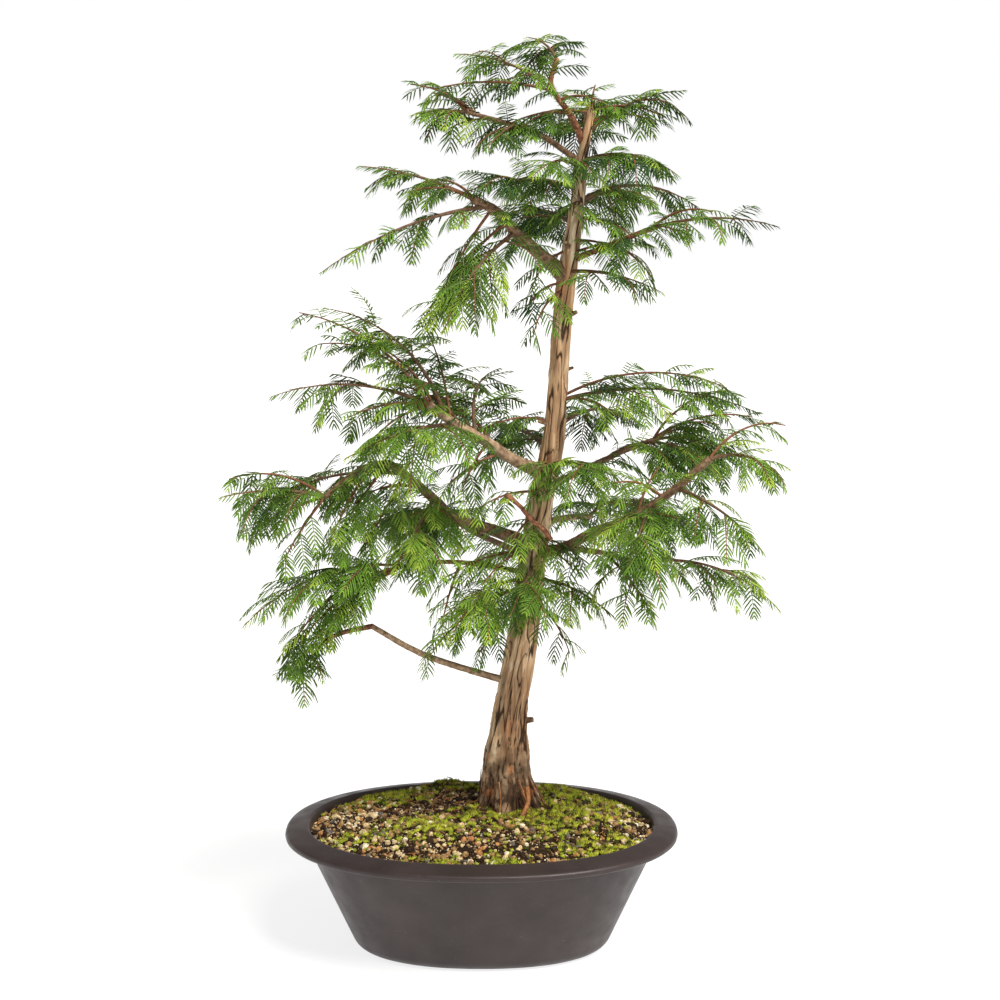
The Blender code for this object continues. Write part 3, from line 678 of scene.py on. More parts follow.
TOP_CUT = trunk_axis(TRUNK_LINE[-1][0])[0]
cut_wood = fresh(bpy.ops.mesh.primitive_cylinder_add, vertices=28, radius=2.7 * MM, depth=1.6 * MM,
                 location=TOP_CUT * MM)
cut_wood.name = "pruned_top"
bpy.ops.object.mode_set(mode="EDIT")
bpy.ops.mesh.select_all(action="SELECT")
bpy.ops.mesh.bevel(offset=0.35 * MM, segments=2, affect="EDGES")
bpy.ops.object.mode_set(mode="OBJECT")
bpy.ops.object.transform_apply(location=True, rotation=True, scale=True)
bpy.ops.object.shade_smooth_by_angle(angle=radians(40))
pale_wood, tree, shader = new_finish("pale_cut_wood", (0.55, 0.38, 0.21), 0.7)
paint(shader, ramp(tree, speckle(tree, 900, 3), (0.3, (0.36, 0.22, 0.11)), (0.7, (0.66, 0.48, 0.28))))
cut_wood.data.materials.append(pale_wood)
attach(cut_wood, "root")


# The boughs
# Each is one tapering limb that swells where it leaves the trunk, with thin brown bark. Two of them
# are bare over much of their length.

# name, parent, where it leaves it, its legs as length, heading and rise, and its radius at root and tip
BOUGHS = (
    ("low_left", "trunk", 115, ((44, 193, 19), (39, 193, 21), (28, 194, 28), (34, 196, 33)),
     3.3, 2.5),
    ("low_left_tip", "low_left", 1, ((22, 196, -8), (19, 193, -19), (16, 200, -44)), 2.4, 1.8),
    ("left_twig", "trunk", 217, ((60, 198, 12), (34, 201, 5), (27, 202, -4)), 2.5, 1.7),
    ("mid_left", "trunk", 242, ((43, 161, 17), (34, 198, 19), (34, 215, 40), (28, 222, 37),
                                      (30, 216, 33), (28, 208, -9), (38, 203, -34)), 6.0, 2.6),
    ("up_left", "trunk", 307, ((38, 210, 24), (31, 215, 32), (38, 216, 28), (33, 213, 34)), 5.6, 3.6),
    ("right_low", "trunk", 235, ((36, 321, 15), (36, 321, 28), (42, 329, 23), (43, 335, 35),
                                       (43, 342, 42)), 5.0, 3.2),
    ("right_low_side", "right_low", 0.2, ((36, 347, -6), (35, 336, -11)), 2.8, 2.0),
    ("right_mid", "trunk", 293, ((50, 37, 17), (47, 34, 17), (36, 35, 13)), 3.4, 2.2),
    ("high_left", "trunk", 481, ((35, 207, 38), (28, 207, 37), (26, 212, 43), (25, 206, 25)),
     6.0, 3.8),
    ("high_right", "trunk", 495, ((36, 336, 20), (38, 339, 21), (8, 343, 18)), 2.8, 2.2),
    ("top_left", "trunk", 579, ((46, 195, 32), (37, 196, 16), (29, 197, 14)), 2.8, 1.8),
    ("leader", "trunk", 595, ((28, 207, 60), (30, 192, 55), (24, 42, 72)), 3.0, 2.0),
    ("back_left", "trunk", 231, ((60, 118, 3), (60, 123, 6)), 3.6, 2.4),
    ("back_right", "trunk", 261, ((50, 58, 0), (48, 58, -6)), 3.4, 2.4),
)
TIP_OVERLAP = 1
LIMB_CLEARANCE = 1.0
UP = Vector((0, 0, 1))


def direction(heading, rise):
    h, r = radians(heading), radians(rise)
    return Vector((cos(h) * cos(r), sin(h) * cos(r), sin(r)))


def smooth(points, steps):
    """A Catmull-Rom curve through the points, with this many steps to a span."""
    ends = [points[0] * 2 - points[1], *points, points[-1] * 2 - points[-2]]
    line = []
    for a, b, c, d in zip(ends, ends[1:], ends[2:], ends[3:]):
        for i in range(steps):
            t = i / steps
            line.append(0.5 * (2 * b + (c - a) * t + (2 * a - 5 * b + 4 * c - d) * t * t
                               + (3 * b - a - 3 * c + d) * t ** 3))
    return [*line, points[-1].copy()]


def point_at(line, share):
    place = share * (len(line) - 1)
    i = min(int(place), len(line) - 2)
    return line[i].lerp(line[i + 1], place - i)


def tangent_at(line, i):
    return (line[min(i + 1, len(line) - 1)] - line[max(i - 1, 0)]).normalized()


def tapering(first, last, count):
    return [first + (last - first) * i / (count - 1) for i in range(count)]


def tube_rings(line, radii, sides):
    """Round sections along a line, each turned as little as can be from the last."""
    across = tangent_at(line, 0).cross(UP)
    if across.length < 0.1:
        across = Vector((0, 1, 0))
    rings = []
    for i, (centre, radius) in enumerate(zip(line, radii)):
        along = tangent_at(line, i)
        across = (across - along * across.dot(along)).normalized()
        over = along.cross(across)
        rings.append([centre + (across * cos(a) + over * sin(a)) * radius for a in turns(sides)])
    return rings


def leave(limbs, parent, at):
    """Where a limb or a stem starts, just inside its parent."""
    if parent == "trunk":
        return trunk_axis(at)[0]
    line = limbs[parent]["line"]
    if at == 1:
        return line[-1] - tangent_at(line, len(line) - 1) * TIP_OVERLAP
    return point_at(line, at)


def barked_limb(name, line, first, last, collar, sides, ribs):
    """A limb with knobbly bark: its radius, a swelling at its root, and ridges that run along it."""
    rings, cracks = [], []
    run = 0.0
    total = sum((b - a).length for a, b in zip(line, line[1:]))
    level = tube_rings(line, [1.0] * len(line), sides)
    for i, centre in enumerate(line):
        run += (centre - line[i - 1]).length if i else 0
        radius = first + (last - first) * run / total
        radius *= 1 + collar * exp(-run / (2.4 * first))
        ring = []
        for a, rim in zip(turns(sides), level[i]):
            out = rim - centre
            grain = noise.noise(Vector((cos(a) * ribs, sin(a) * ribs, run * 0.09)))
            knob = noise.fractal(centre * 0.11 + out * 0.8, 1.0, 2.0, 2)
            crack = max(0.0, 1 - abs(grain) / 0.2)
            ring.append(centre + out * radius * (1 + 0.10 * knob - 0.08 * crack))
            cracks.append(crack)
        rings.append(ring)
    made = shaped(name, *stack(rings))
    mark(made, "crack", cracks)
    return made


limb_finishes = {}
# The third finish is a paler, yellower copy of the brown bark: partly the paler bark of some boughs, partly
# painted highlight where those boughs catch the light.
for name, dark, middle, light, fleck in (
    ("brown_bark", (0.09, 0.05, 0.03), (0.22, 0.125, 0.07), (0.40, 0.26, 0.16), (0.30, 0.28, 0.18)),
    ("red_bark", (0.10, 0.036, 0.02), (0.23, 0.085, 0.045), (0.38, 0.18, 0.10), (0.50, 0.33, 0.14)),
    ("bronze_bark", (0.17, 0.10, 0.06), (0.36, 0.23, 0.14), (0.58, 0.42, 0.28), (0.28, 0.25, 0.16)),
):
    finish, tree, shader = new_finish(name, middle, 0.62)
    grain = speckle(tree, 240, 5)
    body = ramp(tree, grain, (0.3, dark), (0.5, middle), (0.72, light))
    spots = ramp(tree, speckle(tree, 420, 2), (0.62, 0.0), (0.7, 0.7))
    body = blend_colours(tree, spots, body, fleck)
    body = blend_colours(tree, ramp(tree, read(tree, "crack"), (0.5, 0.0), (1.0, 0.65)), body, dark)
    paint(shader, body)
    roughen(tree, shader, grain, 0.0005, 0.7)
    limb_finishes[name] = finish

# Boughs with the pale bark, which carries painted highlight, and boughs with red bark; the rest have brown
# bark.
LIMB_BARK = {
    "up_left": "bronze_bark", "low_left": "bronze_bark", "low_left_tip": "red_bark",
    "leader": "red_bark", "high_right": "red_bark", "left_twig": "red_bark",
    "right_low_side": "bronze_bark",
}

limbs = {}
for name, parent, at, legs, root, tip in BOUGHS:
    ends = [leave(limbs, parent, at)]
    for length, heading, rise in legs:
        ends.append(ends[-1] + direction(heading, rise) * length)
    line = smooth(ends, 2)
    limbs[name] = {"line": line, "radii": tapering(root, tip, len(line)), "sides": 7 if root > 3.5 else 5}
    fine = smooth(ends, 14)
    collar = 0.0 if at == 1 else 0.55
    bough = barked_limb(f"bough_{name}_bark", fine, root, tip, collar, 18, 1.7)
    bough.data.materials.append(limb_finishes[LIMB_BARK.get(name, "brown_bark")])
    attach(bough, "root")
    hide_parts(f"bough_{name}")


# The bare twig and the stubs
# A thin shoot that was cut short stands out in front of the trunk with a pale end, and short stubs
# mark where other shoots were pruned away.

# height, heading, rise, length and radius
STUBS = ((310, 262, -12, 9, 1.8), (352, 205, 10, 7, 1.5), (446, 330, 20, 6, 1.6), (505, 250, 25, 7, 1.5),
         (560, 300, 30, 6, 1.4), (398, 20, 15, 5, 1.2), (78, 350, 10, 6, 2.2))


def cut_shoot(name, line, first, last, finish):
    """A pruned shoot, and the pale disc of wood at its end."""
    shoot = barked_limb(name, line, first, last, 0.7, 12, 1.5)
    shoot.data.materials.append(finish)
    ahead = tangent_at(line, len(line) - 1)
    ends = [line[-1] - ahead * 0.5, line[-1] + ahead * 0.25, line[-1] + ahead * 0.5]
    disc = shaped(name + "_end", *stack(tube_rings(ends, [last * 0.86, last * 0.86, last * 0.6], 12)))
    disc.data.materials.append(pale_wood)
    for piece in (shoot, disc):
        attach(piece, "root")


BARE_TWIG = ((22, -34, 418), (34, -34, 408), (43, -35, 397), (54, -36, 388), (61, -38, 379))
twig_line = smooth([Vector(place) for place in BARE_TWIG], 6)
cut_shoot("bare_twig", twig_line, 1.7, 2.2, limb_finishes["red_bark"])
for k, (height, heading, rise, length, radius) in enumerate(STUBS):
    centre, thick = trunk_axis(height)
    ahead = direction(heading, rise)
    line = [centre + ahead * (thick * 0.6 + (thick * 0.4 + length) * i / 5) for i in range(6)]
    cut_shoot(f"stub_{k + 1}", line, radius * 1.3, radius, limb_finishes["brown_bark"])


# The surface roots
# Thin rusty roots that run down the trunk's foot and dive into the soil, with one thick orange one at
# the front, and a scatter of dry fibres on the humus.

ROOT_COUNT = 30
FIBRE_COUNT = 520


def tubes(rows, sides):
    """Points, triangles and finishes of many closed tubes, each given as its line, radii and slot."""
    points, faces, slots = [], [], []
    for line, radii, slot in rows:
        rings = tube_rings(line, radii, sides)
        start, ends = len(points), len(rings) - 1
        last = start + ends * sides
        for ring in rings:
            points += ring
        skin = []
        for level in range(ends):
            for i in range(sides):
                a, b = (start + level * sides + k for k in (i, (i + 1) % sides))
                skin += [(a, b, b + sides), (a, b + sides, a + sides)]
        for i in range(1, sides - 1):
            skin += [(start, start + i + 1, start + i), (last, last + i, last + i + 1)]
        faces += skin
        slots += [slot] * len(skin)
    return points, faces, slots


draw = random.Random(31)
rows = []
for k in range(ROOT_COUNT):
    a = radians(180 + 180 * (k + draw.uniform(0, 1)) / ROOT_COUNT + draw.uniform(-20, 20))
    out = outward(a)
    high, far = draw.uniform(8, 34), draw.uniform(2, 12)
    top, thick = trunk_axis(high)
    foot, wide = trunk_axis(0)
    sway = Vector((-out.y, out.x, 0)) * draw.uniform(-9, 9)
    line = smooth([
        top + out * thick * 0.99, foot + UP * high * 0.4 + out * (wide + 1.5) + sway * 0.5,
        foot + UP * 1.5 + out * (wide + far) + sway, foot - UP * 5 + out * (wide + far + 6) + sway], 5)
    radius = draw.uniform(0.3, 0.85)
    rows.append((line, tapering(radius, radius * 0.5, len(line)), draw.choice((0, 0, 0, 0, 1))))
front = trunk_axis(0)[0]
THICK_ROOT = ((15, -17, 22), (16, -25, 11), (12, -32, 3), (7, -38, -5))
thick_line = smooth([front + Vector(place) for place in THICK_ROOT], 6)
rows.append((thick_line, tapering(2.3, 1.6, len(thick_line)), 1))
for k in range(FIBRE_COUNT):
    x, y = draw.gauss(-4, 62), draw.gauss(0, 42)
    found = on_soil(x, y)
    if found is None:
        continue
    place, normal = found
    a = draw.uniform(0, 2 * pi)
    ahead = Vector((cos(a), sin(a), draw.uniform(-0.1, 0.25)))
    aside = Vector((-sin(a), cos(a), 0)) * draw.uniform(-2.5, 2.5)
    length = draw.uniform(4, 15)
    line = smooth([place + normal * 0.3, place + normal * 1.2 + ahead * length * 0.5 + aside,
                   place + normal * 0.4 + ahead * length], 3)
    rows.append((line, [draw.uniform(0.18, 0.36)] * len(line), draw.choice((0, 1, 2))))
ROOT_COLOURS = (("dark_root", (0.13, 0.06, 0.032)), ("orange_root", (0.52, 0.22, 0.085)),
                ("straw_fibre", (0.42, 0.29, 0.16)))
root_finishes = [mottled(name, colour, 0.7, 400, 3, 0.5, 0.35, 0.6)[0] for name, colour in ROOT_COLOURS]
roots = joined("surface_roots", *tubes(rows, 6), root_finishes)
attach(roots, "root")


# The foliage
# Soft flat needles in two ranks along shoots of one season, which stand left and right along thin
# red-brown twigs and hang at their ends. Each mass grows from one stem, with a spray at its end and
# side sprays left, right and hanging, and every spray is a shoot with smaller shoots along it.

# name, parent, where it leaves it, heading, turn, rise, droop, reach, spread and number of side sprays
FOLIAGE = (
    ("low_left", "low_left_tip", 1, 218, -27, -36, 0, 32, 28, 3),
    ("left_drop", "left_twig", 1, 198, -8, 10, 56, 154, 56, 7),
    ("left_hanging", "trunk", 210, 225, 0, 16, 76, 116, 48, 5),
    ("centre_front", "trunk", 221, 272, -30, 16, 62, 104, 50, 5),
    ("centre_low", "trunk", 212, 312, 20, 10, 48, 98, 44, 4),
    ("right_drop", "right_low_side", 1, 349, 3, 14, 62, 132, 50, 5),
    ("right_drop_inner", "right_low_side", 0.5, 290, 40, -8, 60, 92, 44, 4),
    ("back_left", "back_left", 1, 134, 3, 23, 56, 142, 62, 5),
    ("back_right", "back_right", 1, 63, -18, 21, 58, 134, 60, 4),
    ("left_far", "mid_left", 1, 196, -8, 17, 31, 88, 56, 5),
    ("left_shelf", "mid_left", 0.62, 176, 8, 8, 42, 136, 56, 4),
    ("left_inner", "mid_left", 0.42, 262, -30, -11, 42, 100, 52, 5),
    ("left_near", "mid_left", 0.24, 222, -10, 14, 70, 88, 50, 5),
    ("up_left_outer", "up_left", 1, 176, 1, 26, 46, 138, 60, 6),
    ("up_left_top", "up_left", 0.86, 158, 8, 73, 66, 148, 54, 6),
    ("up_left_low", "up_left", 0.74, 232, -48, 8, 40, 112, 50, 4),
    ("up_left_inner", "up_left", 0.6, 110, -70, 70, 60, 88, 44, 5),
    ("centre_mid", "trunk", 313, 297, 34, 26, 67, 98, 48, 4),
    ("right_top", "trunk", 372, 11, -7, 16, 40, 188, 56, 6),
    ("right_outer", "right_low", 1, 2, 0, 22, 78, 71, 48, 4),
    ("right_outer_low", "right_low", 0.82, 316, 40, -10, 44, 96, 46, 4),
    ("right_inner", "right_low", 0.66, 272, -47, 5, 76, 92, 52, 5),
    ("right_back", "right_mid", 1, 28, -20, 9, 45, 106, 56, 4),
    ("right_middle", "right_mid", 0.5, 345, -10, 40, 90, 116, 50, 4),
    ("back_mid", "trunk", 325, 112, 14, 22, 46, 180, 60, 4),
    ("back_upper", "trunk", 345, 62, -10, 22, 50, 165, 56, 4),
    ("high_left_outer", "high_left", 1, 188, -4, 28, 24, 100, 42, 4),
    ("high_left_long", "high_left", 0.84, 216, -33, -4, 32, 160, 28, 4),
    ("high_left_under", "high_left", 0.5, 238, -31, -16, 55, 122, 52, 5),
    ("high_left_inner", "trunk", 556, 215, -20, 20, 46, 118, 46, 5),
    ("high_right_outer", "high_right", 1, 345, 8, 18, 34, 106, 40, 5),
    ("high_right_low", "trunk", 485, 310, 33, 8, 34, 98, 40, 4),
    ("high_right_mid", "trunk", 545, 352, 8, 34, 80, 122, 46, 5),
    ("high_back_left", "trunk", 525, 117, 6, 22, 39, 146, 48, 4),
    ("high_back_right", "trunk", 541, 58, -6, 24, 44, 138, 46, 4),
    ("top_left", "top_left", 1, 198, -15, 8, 20, 42, 34, 3),
    ("top_left_low", "top_left", 0.5, 262, -40, 5, 50, 66, 34, 3),
    ("crown_left", "leader", 0.6, 190, -4, 40, 40, 90, 42, 5),
    ("top", "leader", 1, 120, 20, 50, 40, 44, 46, 5),
    ("top_right", "trunk", 603, 352, 5, 46, 44, 92, 40, 4),
    ("crown_right", "trunk", 580, 335, 12, 22, 60, 90, 42, 4),
    ("crown_back", "trunk", 594, 88, -8, 52, 60, 104, 44, 4),
    ("crown_front", "trunk", 572, 248, -14, 24, 56, 92, 46, 4),
)
STEM_STEPS = 12
STEM_SIDES = 4
STEM_ROOT = 2.4
STEM_STATIONS = (0, 0.2, 0.4, 0.6)
END_SPRAY_FROM = 0.54
SPRAY_LONGEST = 108
SPRAY_HALF_WIDTH = 32
SPRAY_RIB = 1.5
SPRAY_PROPORTION = 0.38
THREE_TEETH_FROM = 98
STALK = 7
NOTCH_DEPTH = 0.7
TOOTH_SLANT = 22
TOOTH_SLANT_GAIN = 26
TOOTH_DROOP = 0.12
END_TEETH = 3
END_PROPORTION = 0.55
END_ROLLS = (0.6, -0.6, 0.3, -0.3, 0)
SPRAYS_FROM = 0.12
SPRAYS_OVER = 0.46
LEVEL_TURN = 95
HANGING_TURN = 155
TURN_SPREAD = 12
FIRST_ANGLE = 62
ANGLE_FALL = 16
ANGLE_SPREAD = 5
DROOPS = (50, 80)
ROLLS = (0.3, 1.0)
MOST_SWING = 0.35
TRIES = 4
SHORTER = (1.0, 0.85, 0.7)
SPRAY_CLEARANCE = 0.5
SHARED_BORDER = 14


def bent(start, heading, turn, rise, droop, reach, steps):
    """A line that leaves start and bends evenly, by turn sideways and by droop downwards."""
    line = [start.copy()]
    for i in range(steps):
        share = (i + 0.5) / steps
        line.append(line[-1] + direction(heading + turn * share, rise - droop * share) * reach / steps)
    return line


def spray(rib, half_width, roll, thickness):
    """The room that a spray takes: a stalk, then a blade with a pointed tooth for each pair of shoots."""
    teeth = len(rib) - 3
    flat = rib[-1] - rib[0]
    level = Vector((flat.y, -flat.x, 0)).normalized()
    points, faces, sections = [], [], []
    for i, centre in enumerate(rib[:-1]):
        along = tangent_at(rib, i)
        side = level * cos(roll) + level.cross(along) * sin(roll)
        over = side.cross(along)
        share = max(i - 1, 0) / teeth
        thick = thickness * (1 - 0.6 * share)
        notch = max(thick, half_width * NOTCH_DEPTH * sin(pi * min(share * 1.2, 0.92)))
        slant = radians(TOOTH_SLANT + TOOTH_SLANT_GAIN * share)
        across, ahead = side * cos(slant) * notch, along * sin(slant) * notch
        sections.append((along, side, over))
        points += [centre + over * thick, centre + across + ahead]
        points += [centre - over * thick, centre - across + ahead]
    for k in range(4):
        faces.append([k, (k + 1) % 4, 4 + (k + 1) % 4, 4 + k])
    for i in range(1, teeth + 1):
        along, side, over = sections[i]
        share = (i - 0.5) / teeth
        reach = half_width * (0.72 + 1.0 * share - 1.15 * share * share)
        slant = radians(TOOTH_SLANT + TOOTH_SLANT_GAIN * share)
        middle = rib[i].lerp(rib[i + 1], 0.45)
        for sign, right in ((1, 1), (-1, 3)):
            outwards = side * sign * cos(slant) + along * sin(slant) - over * TOOTH_DROOP
            tip = middle + outwards * reach
            points.append(tip)
            p, a, b = len(points) - 1, 4 * i, 4 * i + 4
            faces += [[a, a + right, p], [a, p, b], [b, p, b + right],
                      [a + 2, p, a + right], [a + 2, b + 2, p], [b + 2, b + right, p]]
    points.append(rib[-1])
    end, last = len(points) - 1, 4 * teeth + 4
    faces += [[last + k, last + (k + 1) % 4, end] for k in range(4)]
    faces.append([3, 2, 1, 0])
    return points, faces


def aim(way, z):
    """Heading and rise of a way, in degrees, from it and from its height at unit length."""
    return degrees(atan2(way.y, way.x)), degrees(asin(max(-1, min(1, z))))


def spray_rib(start, ahead, length, droop, teeth):
    """The rib of a spray: a straight stalk along ahead, then a line that bends down to its tip."""
    heading, rise = aim(ahead, ahead.z)
    foot = start + ahead * STALK
    return [start, *bent(foot, heading, 0, rise, min(droop, rise + 80), length - STALK, teeth + 1)]


def keeps_to_space(name, points, samples):
    """True if no point is nearer to another mass's stem than to its own by more than the shared border."""
    for p in points:
        own = min((p - q).length for q in samples[name]) - SHARED_BORDER
        if any((p - q).length < own for other, line in samples.items() if other != name for q in line):
            return False
    return True


def tree_of(points, faces):
    return BVHTree.FromPolygons([p * MM for p in points], faces)


def trunk_room(extra):
    """The trunk's level rings, grown by extra."""
    rings = []
    for i in range(TRUNK_RINGS):
        height = TRUNK_LINE[-1][0] * (i / (TRUNK_RINGS - 1)) ** 1.25
        centre, radius = trunk_axis(height)
        if i in (0, TRUNK_RINGS - 1):
            centre += UP * (extra if i else -extra)
        flare = exp(-height / FLARE_HEIGHT)
        ring = []
        for a in turns(TRUNK_SIDES):
            r = radius * (1 + flare * root_swell(a)) + extra
            ring.append(centre + outward(a) * r)
        rings.append(ring)
    return rings


def tree_of_limbs(limbs):
    """One search tree over every limb, each grown by the clearance that sprays keep."""
    points, faces = stack(trunk_room(LIMB_CLEARANCE))
    for limb in limbs.values():
        wider = [r + LIMB_CLEARANCE for r in limb["radii"]]
        more, skins = stack(tube_rings(limb["line"], wider, limb["sides"]))
        faces += [[i + len(points) for i in skin] for skin in skins]
        points += more
    return tree_of(points, faces)


def on_wood(wood, share):
    """The point of a stem at this share of its mass's reach, and the way that the stem runs there."""
    i = max(k for k, station in enumerate(STEM_STATIONS[:-1]) if station <= share)
    part = (share - STEM_STATIONS[i]) / (STEM_STATIONS[i + 1] - STEM_STATIONS[i])
    return wood[i].lerp(wood[i + 1], part), (wood[i + 1] - wood[i]).normalized()


def side_sprays(stem, draw):
    """Starts, directions, lengths and droops of a mass's side sprays. Each third one hangs."""
    count, spread = stem["count"], stem["spread"]
    for i in range(count):
        place, along = on_wood(stem["wood"], SPRAYS_FROM + SPRAYS_OVER * (i + 0.5) / count)
        side = along.cross(UP).normalized()
        over = side.cross(along)
        turn = HANGING_TURN if i % 3 == 2 else LEVEL_TURN
        turn = radians(turn + draw.uniform(-TURN_SPREAD, TURN_SPREAD)) * (1 if i % 2 else -1)
        angle = FIRST_ANGLE - ANGLE_FALL * i / count + draw.uniform(-ANGLE_SPREAD, ANGLE_SPREAD)
        angle = radians(angle)
        out = side * sin(turn) + over * cos(turn)
        ahead = along * cos(angle) + out * sin(angle)
        length = min(spread / sin(angle) * draw.uniform(1.02, 1.2), SPRAY_LONGEST)
        yield place, ahead, length, draw.uniform(*DROOPS)


def is_clear(name, points, faces, samples, limbs, others):
    """True if a spray keeps to its own mass's space, off the other sprays and off the limbs."""
    if not keeps_to_space(name, points[8::2], samples):
        return False
    if tree_of(points, faces).overlap(limbs):
        return False
    blade = tree_of(points, [face for face in faces if min(face) > 3])
    return not any(blade.overlap(other) for other in others)


def fit_side_spray(name, leaving, draw, samples, limbs, others):
    """Rib, half width and roll of the largest side spray that is clear, or nothing."""
    start, ahead, length, droop = leaving
    tries = []
    for _ in range(TRIES):
        roll = draw.choice((-1, 1)) * draw.uniform(*ROLLS)
        tries.append((roll, draw.uniform(-MOST_SWING, MOST_SWING)))
    for share in SHORTER:
        size = length * share
        teeth = 3 if size > THREE_TEETH_FROM else 2
        width = min(SPRAY_HALF_WIDTH, SPRAY_PROPORTION * size)
        for roll, swing in tries:
            turned = ahead.copy()
            turned.rotate(Quaternion(UP, swing))
            rib = spray_rib(start, turned, size, droop, teeth)
            wider = spray(rib, width + SPRAY_CLEARANCE, roll, SPRAY_RIB + SPRAY_CLEARANCE)
            if is_clear(name, *wider, samples, limbs, others):
                return rib, width, roll
    return None


def end_spray(name, stem, samples, limbs, others):
    """Rib, half width and roll of the spray that ends a mass's stem."""
    shares = tapering(END_SPRAY_FROM, 1, END_TEETH + 3)
    rib = [point_at(stem["axis"], share) for share in shares]
    width = min(SPRAY_HALF_WIDTH, END_PROPORTION * stem["spread"])
    for share in SHORTER:
        for roll in END_ROLLS:
            wider = spray(rib, width * share + SPRAY_CLEARANCE, roll, SPRAY_RIB + SPRAY_CLEARANCE)
            if is_clear(name, *wider, samples, limbs, others):
                return rib, width * share, roll
    return rib, width * SHORTER[-1], 0


stems = {}
for name, parent, at, heading, turn, rise, droop, reach, spread, count in FOLIAGE:
    axis = bent(leave(limbs, parent, at), heading, turn, rise, droop, reach, STEM_STEPS)
    root = STEM_ROOT if parent == "trunk" else min(STEM_ROOT, limbs[parent]["radii"][-1] * 0.9)
    wood = [point_at(axis, share) for share in STEM_STATIONS]
    room = tree_of(*stack(tube_rings(wood, [root + LIMB_CLEARANCE] * len(wood), STEM_SIDES)))
    stems[name] = {"axis": axis, "wood": wood, "room": room, "spread": spread, "count": count, "root": root,
                   "sprays": []}
samples = {name: [point_at(stem["axis"], k / 10) for k in range(11)] for name, stem in stems.items()}
wooden = tree_of_limbs(limbs)
placed = []
for name, stem in stems.items():
    stem["others"] = [other["room"] for key, other in stems.items() if key != name]
    stem["sprays"].append(end_spray(name, stem, samples, wooden, stem["others"] + placed))
    placed.append(tree_of(*spray(*stem["sprays"][0], SPRAY_RIB)))
for seed, (name, stem) in enumerate(stems.items()):
    draw = random.Random(seed)
    for leaving in side_sprays(stem, draw):
        found = fit_side_spray(name, leaving, draw, samples, wooden, stem["others"] + placed)
        if found:
            stem["sprays"].append(found)
            placed.append(tree_of(*spray(*found, SPRAY_RIB)))
# From here each spray is carried to its finer shoots and needles.
NEEDLE_SPACING = 3.1
NEEDLE_WIDTH = 1.5
NEEDLE_THICKNESS = 0.24
NEEDLE_SAG = 0.3
MAIN_NEEDLE = 16
SIDE_NEEDLE = 14
STEM_FEATHERS = (0.08, 0.78)
STEM_FEATHER_SPACING = 6.5
FEATHER_LONGEST = 66
FEATHER_NEEDLE = (11.5, 15.5)
FEATHER_LEAN = (38, 66)
FEATHER_SAG = (24, 62)
BOUGH_FEATHER = 46
BOUGH_FEATHER_SPACING = 8
TWIG_FEATHERS_FROM = 0.14
FEATHER_TURNS = (90, -90, 64, -104, 104, -64, 140, -84, 84, -30)
EDGE_MARGIN = 0.5
GREENS = (
    ("yellow_green_needles", (0.34, 0.48, 0.060)), ("fresh_green_needles", (0.20, 0.35, 0.040)),
    ("leaf_green_needles", (0.130, 0.25, 0.030)), ("mid_green_needles", (0.082, 0.165, 0.022)),
    ("deep_green_needles", (0.040, 0.085, 0.014)), ("blue_green_needles", (0.042, 0.100, 0.030)),
)
# The crown by region: the shares of the six greens in its shoots, from the yellowest to the bluest, its
# masses with how lush each is, and its boughs with the share of their length where feathers start.
REGIONS = {
    "low_left": (
        (0.05, 0.26, 0.36, 0.24, 0.06, 0.03),
        {"low_left": 1, "left_drop": 0.8, "left_hanging": 0.6, "left_far": 0.6, "left_near": 1},
        {"low_left_tip": 0.35, "left_twig": 0.55, "mid_left": 0.3},
    ),
    "low_middle": (
        (0.06, 0.3, 0.34, 0.21, 0.06, 0.03),
        {"centre_front": 0.7, "centre_low": 0.45, "left_inner": 0.75, "left_shelf": 1, "centre_mid": 0.7},
        {},
    ),
    "low_right": (
        (0.06, 0.3, 0.34, 0.21, 0.06, 0.03),
        {"right_drop": 0.55, "right_drop_inner": 0.4, "right_outer": 0.4, "right_outer_low": 0.45,
         "right_inner": 1},
        {"right_low": 0.32, "right_low_side": 0.2},
    ),
    "back": (
        # The back leans to the darker greens, as painted shade on the crown's far side.
        (0.01, 0.1, 0.28, 0.34, 0.18, 0.09),
        {"back_left": 1, "back_right": 0.8, "back_mid": 0.8, "back_upper": 1, "right_back": 1,
         "right_middle": 1},
        {"right_mid": 0.25, "back_left": 0.3, "back_right": 0.3},
    ),
    "middle": (
        (0.04, 0.22, 0.35, 0.26, 0.09, 0.04),
        {"up_left_outer": 0.35, "up_left_top": 0.7, "up_left_low": 1, "up_left_inner": 0.8, "right_top": 0.7},
        {"up_left": 0.45},
    ),
    "high": (
        (0.02, 0.14, 0.34, 0.3, 0.13, 0.07),
        {"high_left_outer": 0.55, "high_left_long": 0.5, "high_left_under": 0.5, "high_left_inner": 0.8,
         "high_right_outer": 0.3, "high_right_low": 0.4},
        {"high_left": 0.5, "high_right": 0.2},
    ),
    "crown": (
        (0.02, 0.12, 0.3, 0.32, 0.16, 0.08),
        {"high_right_mid": 0.4, "high_back_left": 1, "high_back_right": 1, "top_left": 0.7,
         "top_left_low": 0.35, "crown_left": 0.5, "top": 1, "top_right": 0.45, "crown_right": 1,
         "crown_back": 1, "crown_front": 1},
        {"top_left": 0.2, "leader": 0.15},
    ),
}
